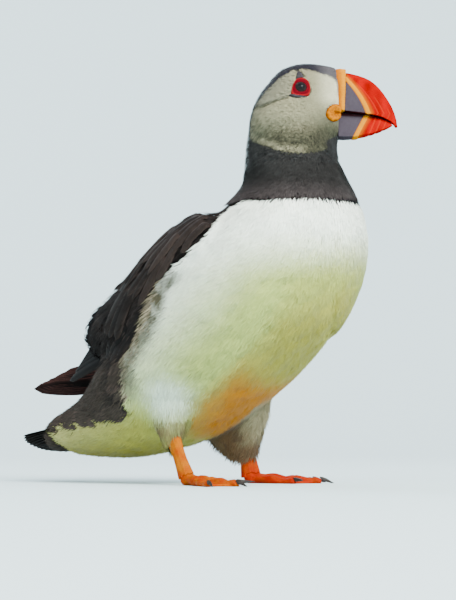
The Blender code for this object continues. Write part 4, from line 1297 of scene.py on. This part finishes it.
def make_patch(name, hide, side, corners, height, steps):
    """A raised patch of bare skin or horn on the face. height(share, turn) rises off it."""
    edge, turns = outline_of(corners)
    middle = edge.mean(axis=0)
    rings = []
    for share in np.linspace(1, INNERMOST, steps):
        flat = middle + (edge - middle) * share
        places, tops = ray_side(hide, flat[:, 0], flat[:, 1], side)
        top = unit(tops.mean(axis=0))
        rings.append(places + top * (FACE_COAT + height(share, turns))[:, None])
    return ring_mesh(name, rings, side)


OUTLINE_POINTS = 72
INNERMOST = 0.02                  # share of an outline at which its last ring lies
PLATE_RINGS = 14
ROSETTE_RINGS = 26
FACE_COAT = 1.1                   # how high the feathers of the face stand over the skin

EYE_SPOT = np.array([-0.2, 0.35])  # the middle of the eye on the face, forward and up
EYE_RADIUS = 3.6
EYE_SHOWS = 2.9                   # radius of the eye that shows within the lids
EYE_DEPTH = math.sqrt(EYE_RADIUS ** 2 - EYE_SHOWS ** 2)
EYE_STANDS = 0.55                 # how far the lids' inner edge stands over the coat
EYE_RINGS, EYE_AROUND = 26, 64
CORNEA = 0.22                     # how far it bulges from the ball
LIDS = ((-2.4, 4.9), (0, 5.6), (2.2, 5.2), (3.8, 3.6), (4.5, 1.4), (4.7, -1.4), (4.3, -3.5),
        (2.6, -4.1), (-0.8, -4.1), (-5, -3.8), (-5.1, -2.6), (-4.6, 0), (-3.8, 2.6))
# The lids from their outline in to the eye: share of the way out, and height. They have a thick
# outer lip, a groove, and a low inner lip.
LID_PROFILE = ((1, -0.9), (0.95, 0.4), (0.86, 0.55), (0.76, 0.4), (0.62, 0.05), (0.46, 0.1),
               (0.28, 0.22), (0.14, 0.18), (0.03, 0), (0, -0.7))
UPPER_PLATE = ((-2.4, 5.3), (0, 5.7), (2, 5.5), (1.2, 7), (0.2, 8.8), (-0.6, 9.7),
               (-1.5, 9.3), (-2.1, 7.2))
LOWER_PLATE = ((-6, -3.5), (-3.4, -3.9), (0, -4.2), (3.8, -3.7), (3.4, -4.7), (0.4, -5.3),
               (-3.2, -5.1), (-5.4, -4.5))
ROSETTE = ((12.8, -13.4), (13.4, -10.6), (15.2, -8.3), (17.6, -7.2), (20, -7.6), (21, -10.4),
           (20.8, -13.6), (19.4, -15.6), (17, -16.4), (14.6, -15.7))
SIDES = ((-1, "right"), (1, "left"))


def ways_round(turns, ahead, over):
    """The ways from the eye's middle at each turn, from ahead upwards."""
    return np.cos(turns)[:, None] * ahead + np.sin(turns)[:, None] * over


def make_ball(name, side, centre, out, ahead, over):
    """The eyeball: a dark iris, a black pupil and a low cornea."""
    outwards = ways_round(turns_of(EYE_AROUND, 0), ahead, over)
    rings, reach = [], []
    for polar in np.linspace(0.62 * math.pi, 0.01, EYE_RINGS):
        radius = EYE_RADIUS + CORNEA * math.exp(-(polar / 0.55) ** 2)
        rings.append(centre + radius * (math.sin(polar) * outwards + math.cos(polar) * out))
        reach.append(np.full(EYE_AROUND, EYE_RADIUS * math.sin(polar)))
    ball = ring_mesh(name, rings, side)
    reach = np.concatenate(reach)
    iris = blend(IRIS, IRIS_RIM, smooth(1.5, 2.6, reach))
    paint(ball, blend(iris, PUPIL, smooth(1.7, 1.5, reach)))
    return ball


def make_lids(name, side, sheet, centre, out, ahead, over):
    """Red lids with a beaded outer lip, between the eye and a blunt, flat-bottomed outline."""
    edge, turns = outline_of(LIDS)
    outer, _ = sheet(edge[:, 0], edge[:, 1])
    inner = centre + EYE_DEPTH * out + (EYE_SHOWS + 0.05) * ways_round(turns, ahead, over)
    beads = 0.1 * np.cos(turns * 26)
    rings, shares = [], []
    for share, height in LID_PROFILE:
        lift = height + FACE_COAT * share + beads * (0.5 < share < 1)
        rings.append(inner + (outer - inner) * share + out * np.reshape(lift, (-1, 1)))
        shares.append(np.full(len(turns), share))
    lids = ring_mesh(name, rings, side)
    paint(lids, blend(RING_DEEP, RING, smooth(0.62, 0.9, np.concatenate(shares))))
    return lids


def plate_height(share, turn):
    """A flat pad with round, faintly lobed edges."""
    return 1.15 * np.sqrt(1 - share ** 4) - 0.6 + 0.05 * np.cos(turn * 9)


def make_eyes(hide):
    """Both eyes, glossy and dark in their red lids, with the grey plates above and below."""
    wet, tree, shader = shader_tree("eye_finish", 0.35, 0.06, Coat_Weight=0.07, Coat_Roughness=0.08)
    tinted(tree, shader, painted(tree), mottled(tree, 1800, 0.85, 1.15))
    ring_skin = horn_material("eye_ring_finish", 0.5, 1800, 0.3, specular=0.02)
    plate_horn = horn_material("eye_plate_finish", 0.5, 1500, 0.4, specular=0.12)
    for side, word in SIDES:
        sheet = face_sheet(hide, side)
        middle, tops = sheet(*EYE_SPOT[:, None])
        out = tops[0]
        ahead = unit(HEAD_AXES[0] - out * (HEAD_AXES[0] @ out))
        over = unit(HEAD_AXES[2] - out * (HEAD_AXES[2] @ out) - ahead * (HEAD_AXES[2] @ ahead))
        centre = middle[0] + out * (FACE_COAT + EYE_STANDS - EYE_DEPTH)
        ball = make_ball("eyeball_" + word, side, centre, out, ahead, over)
        give(ball, wet, "eye_dark", "eye_" + word)
        lids = make_lids("lids_" + word, side, sheet, centre, out, ahead, over)
        give(lids, ring_skin, "red_skin", "eye_ring_" + word)
        for level, corners in (("upper", UPPER_PLATE), ("lower", LOWER_PLATE)):
            plate = make_patch("plate_%s_%s" % (level, word), hide, side, corners, plate_height,
                               PLATE_RINGS)
            paint_evenly(plate, PLATE, PLATE * 0.6, 1.6, 5)
            give(plate, plate_horn, "grey_horn", "eye_plate_%s_%s" % (level, word))


def make_cere():
    """The pitted yellow band at the bill's base, swollen at its sides and raised at the crest."""
    cere = refined("cere", BILL_FACES, 5, 0.22)
    points, normals = points_of(cere), normals_of(cere)
    forward, left, up = head_places(points).T
    pits = 0.08 * ripple(points, 1.1, 8) + 0.08 * ripple(points, 2.2, 9)
    swell = 0.35 * np.exp(-((forward - 22) / 1.1) ** 2) * smooth(2, 5, np.abs(left))
    high = smooth(2, 7.5, up)
    crest = HEAD_AXES[2] * (0.9 * high)[:, None]
    crest -= HEAD_AXES[0] * (1.1 * high * smooth(21.5, 19.8, forward))[:, None]
    move_points(cere, points + normals * (pits + swell)[:, None] + crest)
    paint(cere, blend(YELLOW, ORANGE, 0.9 * smooth(22.2, 20.2, forward)))
    return cere


def rosette_height(share, turn):
    """Two swollen lobes that meet at the corner of the mouth, with wrinkles round them."""
    slit = np.exp(-(share * np.sin(turn) / 0.16) ** 2) * (np.cos(turn) > -0.3)
    wrinkles = np.cos(turn * 10 + 6 * share) + 0.7 * np.cos(turn * 5 - 9 * share)
    rim = 0.55 * math.exp(-((share - 0.72) / 0.16) ** 2)
    lobes = 0.9 * math.sqrt(1 - share ** 6) + rim
    return lobes - 0.75 - 0.8 * slit + 0.22 * wrinkles * share


def make_bill(hide):
    """Both mandibles, the cere and the two gape rosettes."""
    horn = horn_material("bill_horn_finish", 0.4, 700, 0.1, specular=0)
    for node, lip in (("bill_upper", -1), ("bill_lower", 1)):
        item = refined(node, BILL_FACES, 3, 0.26)
        shape_bill(item, lip)
        give(item, horn, "bill_horn", node)
    skin = horn_material("cere_finish", 0.5, 1500, 0.4, specular=0)
    give(make_cere(), skin, "yellow_skin", "cere")
    turns = turns_of(OUTLINE_POINTS)
    heights = np.concatenate([rosette_height(share, turns)
                              for share in np.linspace(1, INNERMOST, ROSETTE_RINGS)])
    for side, word in SIDES:
        patch = make_patch("rosette_" + word, hide, side, ROSETTE, rosette_height, ROSETTE_RINGS)
        # Painted shade: darker orange where the rosette lies low, in its slit, its wrinkles and round
        # its edge.
        paint(patch, blend(ORANGE * 0.5, GAPE, smooth(-0.3, 0.45, heights)))
        give(patch, skin, "yellow_skin", "gape_rosette_" + word)


def make_legs():
    """Shanks, webbed feet and claws; the soles stay flat on the ground."""
    skin = scale_material("leg_finish")
    horn = horn_material("claw_finish", 0.5, 900, 0.3, specular=0.1)
    # The far leg takes the deeper colours as painted shade.
    for word, pale, deep in (("right", LEG_NEAR, LEG_DEEP), ("left", LEG_DEEP, LEG_FAR_SHADED)):
        for part, size in (("tarsus_", TARSUS_FACES), ("foot_", FOOT_FACES)):
            item = refined(part + word, size, 2, 0.1)
            points = points_of(item)
            patches = 0.2 + 0.3 * ripple(points, 7, 6) + 0.55 * smooth(9, 3, points[:, 2])
            heel = 0.5 * bell(points[:, 2:3], (27,), (3,))
            paint(item, blend(pale, deep, (patches + heel).clip(0, 1)))
            if part == "foot_":
                points[:, 2] = np.maximum(points[:, 2], 0)
                move_points(item, points)
            give(item, skin, "leg_skin", part + word)
        for toe in ("inner", "middle", "outer"):
            node = "claw_%s_%s" % (toe, word)
            item = refined(node, CLAW_FACES, 2, 0.05)
            paint_evenly(item, CLAW, CLAW * 1.6, 3, 7)
            give(item, horn, "claw_horn", node)


# ---------------------------------------------------------------- beds of feathers

def clear_of_bare(points, gap=0):
    """Off the lids, the plates and the rosettes, by a gap."""
    forward, left, up = head_places(points).T
    clear = np.ones(len(points), bool)
    for corners in (LIDS, UPPER_PLATE, LOWER_PLATE, ROSETTE):
        clear &= inside(corners, forward, up) < -gap
    return clear | (np.abs(left) < 5)


def on_face(side):
    """One side of the head, off the bare parts; feathers stand closer towards the bill."""
    def density(points):
        forward, left, _ = head_places(points).T
        clear = clear_of_bare(points, 0.3) & clear_of_bare(points - HEAD_AXES[0])
        grows = (collar(points) > 22) & (forward < FACE_END - 0.4) & clear
        return grows * ((left < 0) == (side < 0)) * (0.6 + 1.6 * smooth(-6, 16, forward))
    return density


def part_of(grows, low=-math.inf, high=math.inf, side=0):
    """The part of a region between two heights and, if a side is given, on that side."""
    def density(points):
        kept = (points[:, 2] > low) & (points[:, 2] <= high)
        if side:
            kept &= (points[:, 0] >= 0) == (side > 0)
        return grows(points) * kept
    return density


def on_collar(points):
    """The dark ring under the cheeks."""
    return (collar(points) > 4.8) & (collar(points) < 24)


def dark_upper(points):
    """The mantle, the wings' coverts and the rump."""
    over_tail = smooth(34, 46, points[:, 1])
    mantle = smooth(122, 138, points[:, 2])
    return (flank(points) < 0.6 - 3 * over_tail + 4 * mantle) & (collar(points) < 7)


def by_wing_edge(points):
    """Along the edge of the white by the wing, thinner higher up."""
    near_edge = (np.abs(flank(points) - 1.5) < 2.5) & (points[:, 1] > -18)
    return near_edge * (points[:, 2] > 50) * smooth(112, 80, points[:, 2])


def by_rump_edge(points):
    """Clumps along the lower edge of the dark rump."""
    _, y, z = points.T
    clumps = ripple(points * np.array([0, 1, 1]), 11, 54) > 0
    return (np.abs(flank(points) + 2.5) < 2.5) & (y > 30) & (y < 108) & (z > 20) & clumps


def on_folded_wing(points):
    """The dark sides of the back, between shoulder and rump."""
    x, _, z = points.T
    return (flank(points) < -3) & (z > 60) & (z < 140) & (np.abs(x) > 12)


def over_leg(middle, radius, top, side, inner):
    """Round the top of one leg, out from an inner limit."""
    def density(points):
        x, y, z = points.T
        near_leg = np.hypot(x - middle[0], y - middle[1]) < radius
        return near_leg & (z < top) & (side * x > inner)
    return density


def low_cheek(points):
    """The lower cheek is streaked."""
    return 1 + 6 * smooth(-12, -25, head_places(points)[:, 2])


def shaded_flank_hair(points):
    """Wisps along the edge of the wing in its painted shadow: some nearly black, some buff with
    painted shade, some brown.
    """
    colour = blend(WING_SHADOW * 1.3, WISP_IN_SHADE, 0.9 * smooth(-0.4, 0.6, ripple(points, 4, 51)))
    return blend(colour, BROWN * 1.4, 0.8 * smooth(0.1, 0.9, ripple(points, 5, 52)))


def rump_hair(points):
    """The rump's own colour with browner clumps, a painted brown sheen."""
    return blend(RUMP, BROWN * 1.6, smooth(-0.2, 1.2, ripple(points, 5, 53)))


FACE_TUFTS = dict(length=2.6, width=0.36, strands=4, fan=0.55, lift=0.03, wild=0.05, clump=0.05,
                  tone=0.035, root_shade=0.92, colour=head_colour, stays=clear_of_bare,
                  streaks=low_cheek)
COLLAR_TUFTS = dict(length=5.4, width=0.56, strands=4, fan=0.9, lift=0.08, wild=0.09, clump=0.25,
                    tone=0.1, colour=head_colour)
BREAST_TUFTS = dict(length=9.2, width=0.6, strands=5, fan=1.6, lift=0.1, wild=0.08, clump=0.6,
                    tone=0.03, root_shade=0.8, stays=stays_white)
BELLY_TUFTS = dict(length=10.8, width=0.66, strands=5, fan=1.8, lift=0.25, wild=0.1, clump=1,
                   tone=0.045, root_shade=0.74, stays=stays_white)
MANTLE_TUFTS = dict(length=10.5, width=0.9, strands=5, fan=2, lift=0.1, wild=0.1, clump=0.6,
                    tone=0.14, high=0.55, colour=upper_side)
RUMP_TUFTS = dict(length=12.5, width=0.85, strands=5, fan=2.2, lift=0.3, wild=0.14, clump=0.8,
                  tone=0.16, colour=upper_side)
FLANK_WISPS = dict(length=13, width=0.5, strands=5, fan=1.3, lift=0.15, wild=0.11, turn=-0.05,
                   clump=0.3, tone=0.1, root_shade=0.8, colour=shaded_flank_hair)
RUMP_CLUMPS = dict(length=13, width=0.95, strands=7, fan=2, lift=0.2, wild=0.06, clump=0.3,
                   high=1.2, tone=0.12, colour=rump_hair)
WING_STREAKS = dict(length=14, width=0.55, strands=5, fan=1.6, lift=0.25, wild=0.09, clump=0.4,
                    high=1.12, tone=0.22, colour=upper_side)
NEAR_SKIRT = dict(length=10, width=0.45, strands=6, fan=1.2, lift=0.1, wild=0.1, free=1,
                  toward=(-28.6, 13, 15), clump=0.4, tone=0.08, root_shade=0.9,
                  ends=STAIN * 1.2)
FAR_SKIRT = dict(length=8.5, width=0.45, strands=6, fan=1.5, lift=0.5, wild=0.2, free=0.9,
                 clump=0.4, tone=0.12, root_shade=0.8)

# Heights at which one bed passes into the next, where the two overlap a little.
BREAST_ENDS, BELLY_STARTS = 92, 95
BELLY_ENDS, VENT_STARTS = 30, 34
MANTLE_ENDS, WING_STARTS = 95, 98
WING_ENDS, RUMP_STARTS = 60, 62
# Each bed's name, where it grows, how many tufts it has, their shape, and its finish.
BEDS = (
    ("face_coat_right", on_face(-1), 5700, FACE_TUFTS, "face"),
    ("face_coat_left", on_face(1), 5700, FACE_TUFTS, "face"),
    ("collar_coat", on_collar, 4700, COLLAR_TUFTS, "dark"),
    ("breast_coat_right", part_of(is_white, BREAST_ENDS, side=-1), 4800, BREAST_TUFTS, "white"),
    ("breast_coat_left", part_of(is_white, BREAST_ENDS, side=1), 4800, BREAST_TUFTS, "white"),
    ("belly_coat_right", part_of(is_white, BELLY_ENDS, BELLY_STARTS, -1), 4900, BELLY_TUFTS, "white"),
    ("belly_coat_left", part_of(is_white, BELLY_ENDS, BELLY_STARTS, 1), 4900, BELLY_TUFTS, "white"),
    ("vent_coat", part_of(is_white, high=VENT_STARTS), 3300, BELLY_TUFTS, "white"),
    ("mantle_coat", part_of(dark_upper, MANTLE_ENDS), 2900, MANTLE_TUFTS, "dark"),
    ("wing_coat", part_of(dark_upper, WING_ENDS, WING_STARTS), 2300, MANTLE_TUFTS, "dark"),
    ("rump_coat", part_of(dark_upper, high=RUMP_STARTS), 2800, RUMP_TUFTS, "dark"),
    ("flank_fringe", by_wing_edge, 420, FLANK_WISPS, "white"),
    ("rump_fringe", by_rump_edge, 560, RUMP_CLUMPS, "dark"),
    ("wing_streaks", on_folded_wing, 700, WING_STREAKS, "dark"),
    ("skirt_right", over_leg((-29, 12), 10, 38, -1, 20), 520, NEAR_SKIRT, "white"),
    ("skirt_left", over_leg((26, 11), 24, 44, 1, 12), 800, FAR_SKIRT, "white"),
)
FIRST_SEED = 11                   # a bed's seed is this and its place in the table


def make_coat(hide):
    """Every bed of soft feathers, and the rows of long ones on wings and tail."""
    finishes = {
        "white": (plume_material("white_feathers_finish"), "white_feathers"),
        "face": (plume_material("face_feathers_finish", mottle=0.05), "face_feathers"),
        "dark": (plume_material("dark_feathers_finish", 0.75, 0.03, 0.004, 0.18), "black_feathers"),
    }
    for seed, (name, density, count, tufts, finish) in enumerate(BEDS, FIRST_SEED):
        give(make_tufts(name, hide, density, count, seed, **tufts), *finishes[finish])
    quill = vane_material("quill_finish", 0.6, 0.03, 0.25)
    rows = (
        ("primaries_right_vanes", primaries(*RIGHT_PRIMARIES), BROWN * 0.35, ("primaries_right",)),
        # The left primaries' rims are a painted reddish-brown highlight.
        ("primaries_left_vanes", primaries(*LEFT_PRIMARIES), RED_BROWN_HIGHLIGHT, ("primaries_left",)),
        ("wing_rows_right", wing_rows(hide, -1), BROWN * 0.8, ()),
        ("wing_rows_left", wing_rows(hide, 1), BROWN * 0.8, ()),
        ("tail_vanes", tail_feathers(), BROWN * 0.4, ("tail",)),
    )
    for name, feathers, rim, nodes in rows:
        give(make_quills(name, feathers, rim, hide), quill, "black_feathers", *nodes)


# ---------------------------------------------------------------- studio

CAMERA_DISTANCE = 1150
CAMERA_HEIGHT = 28
VIEW_WAY = unit(np.array([0.7985, 0.602, 0]))
CAMERA_PITCH = math.radians(3.48)
CAMERA_YAW = math.radians(-0.08)
LENS = 129.7
LIGHT_TARGET = (0, 0, 110)
LIGHT_DISTANCE = 4                # metres, as are the sizes of the lights
# A broad key from ahead and above, a soft fill, and a cool rim from behind: where each stands as
# seen from the bird, its size, power and colour.
LIGHTS = (
    ("key", (-0.35, -0.95, 0.75), 2, 415, (1, 0.985, 0.95)),
    ("fill", (-1, -0.1, 0.45), 2.4, 62, (1, 1, 1)),
    ("rim", (0.35, 0.85, 0.8), 1.8, 58, (0.85, 0.9, 1)),
)
SKY_COLOUR, SKY_STRENGTH = (0.96, 0.98, 1, 1), 1.85
FLOOR_COLOUR = (0.56, 0.7, 0.73, 1)
FLOOR_FLAT, FLOOR_BEND, FLOOR_SWEEP = 1350, 2400, math.radians(62)
FLOOR_AROUND, FLOOR_ROWS = 96, 30


def make_camera():
    """Low and far off, square to the near side of the face, and tipped up a little."""
    data = bpy.data.cameras.new("camera")
    data.lens = LENS
    data.sensor_width = 36
    data.clip_start = 0.05
    camera = linked("camera", data)
    place = -VIEW_WAY * CAMERA_DISTANCE + np.array([0, 0, CAMERA_HEIGHT])
    camera.location = Vector(placed(place))
    turn = math.atan2(VIEW_WAY[1], VIEW_WAY[0]) - math.pi / 2 + CAMERA_YAW
    camera.rotation_euler = (math.pi / 2 + CAMERA_PITCH, 0, turn)
    bpy.context.scene.camera = camera


def make_floor():
    """A plain pale floor that curves up into a backdrop all round."""
    profile = [(0.1, 0), (FLOOR_FLAT * 0.5, 0), (FLOOR_FLAT - 10, 0), (FLOOR_FLAT, 0)]
    for k in range(1, FLOOR_ROWS + 1):
        turn = FLOOR_SWEEP * k / FLOOR_ROWS
        profile.append((FLOOR_FLAT + FLOOR_BEND * math.sin(turn), FLOOR_BEND * (1 - math.cos(turn))))
    points = []
    for radius, height in profile:
        for j in range(FLOOR_AROUND):
            angle = 2 * math.pi * j / FLOOR_AROUND
            points.append((radius * math.cos(angle), radius * math.sin(angle), height))
    faces = grid_faces(len(profile), FLOOR_AROUND)
    floor = new_object("floor", np.array(points), np.array(faces))
    made, _, shader = shader_tree("floor_finish", 0.95, 0.05)
    shader.inputs["Base Color"].default_value = FLOOR_COLOUR
    floor.data.materials.append(made)


def make_lights():
    """The lamps of the table above and a pale sky."""
    target = Vector(placed(LIGHT_TARGET))
    for name, way, size, power, colour in LIGHTS:
        data = bpy.data.lights.new(name, "AREA")
        data.shape = "DISK"
        data.size = size
        data.energy = power
        data.color = colour
        lamp = linked(name, data)
        lamp.location = target + Vector(unit(np.array(way))) * LIGHT_DISTANCE
        lamp.rotation_euler = (target - lamp.location).to_track_quat("-Z", "Y").to_euler()
    world = bpy.data.worlds.new("soft_sky")
    world.use_nodes = True
    background = world.node_tree.nodes["Background"]
    background.inputs["Color"].default_value = SKY_COLOUR
    background.inputs["Strength"].default_value = SKY_STRENGTH
    bpy.context.scene.world = world


make_camera()
make_floor()
make_lights()
skin = make_skin()
unwrap(skin)
# Painted shade: the skin is a little darker than the coat over it.
paint(skin, markings(points_of(skin)) * SKIN_SHADE)
give(skin, plume_material("skin_finish"), "white_feathers", *FLESH)
hide = Hide(skin)
make_coat(hide)
make_bill(hide)
make_eyes(hide)
make_legs()
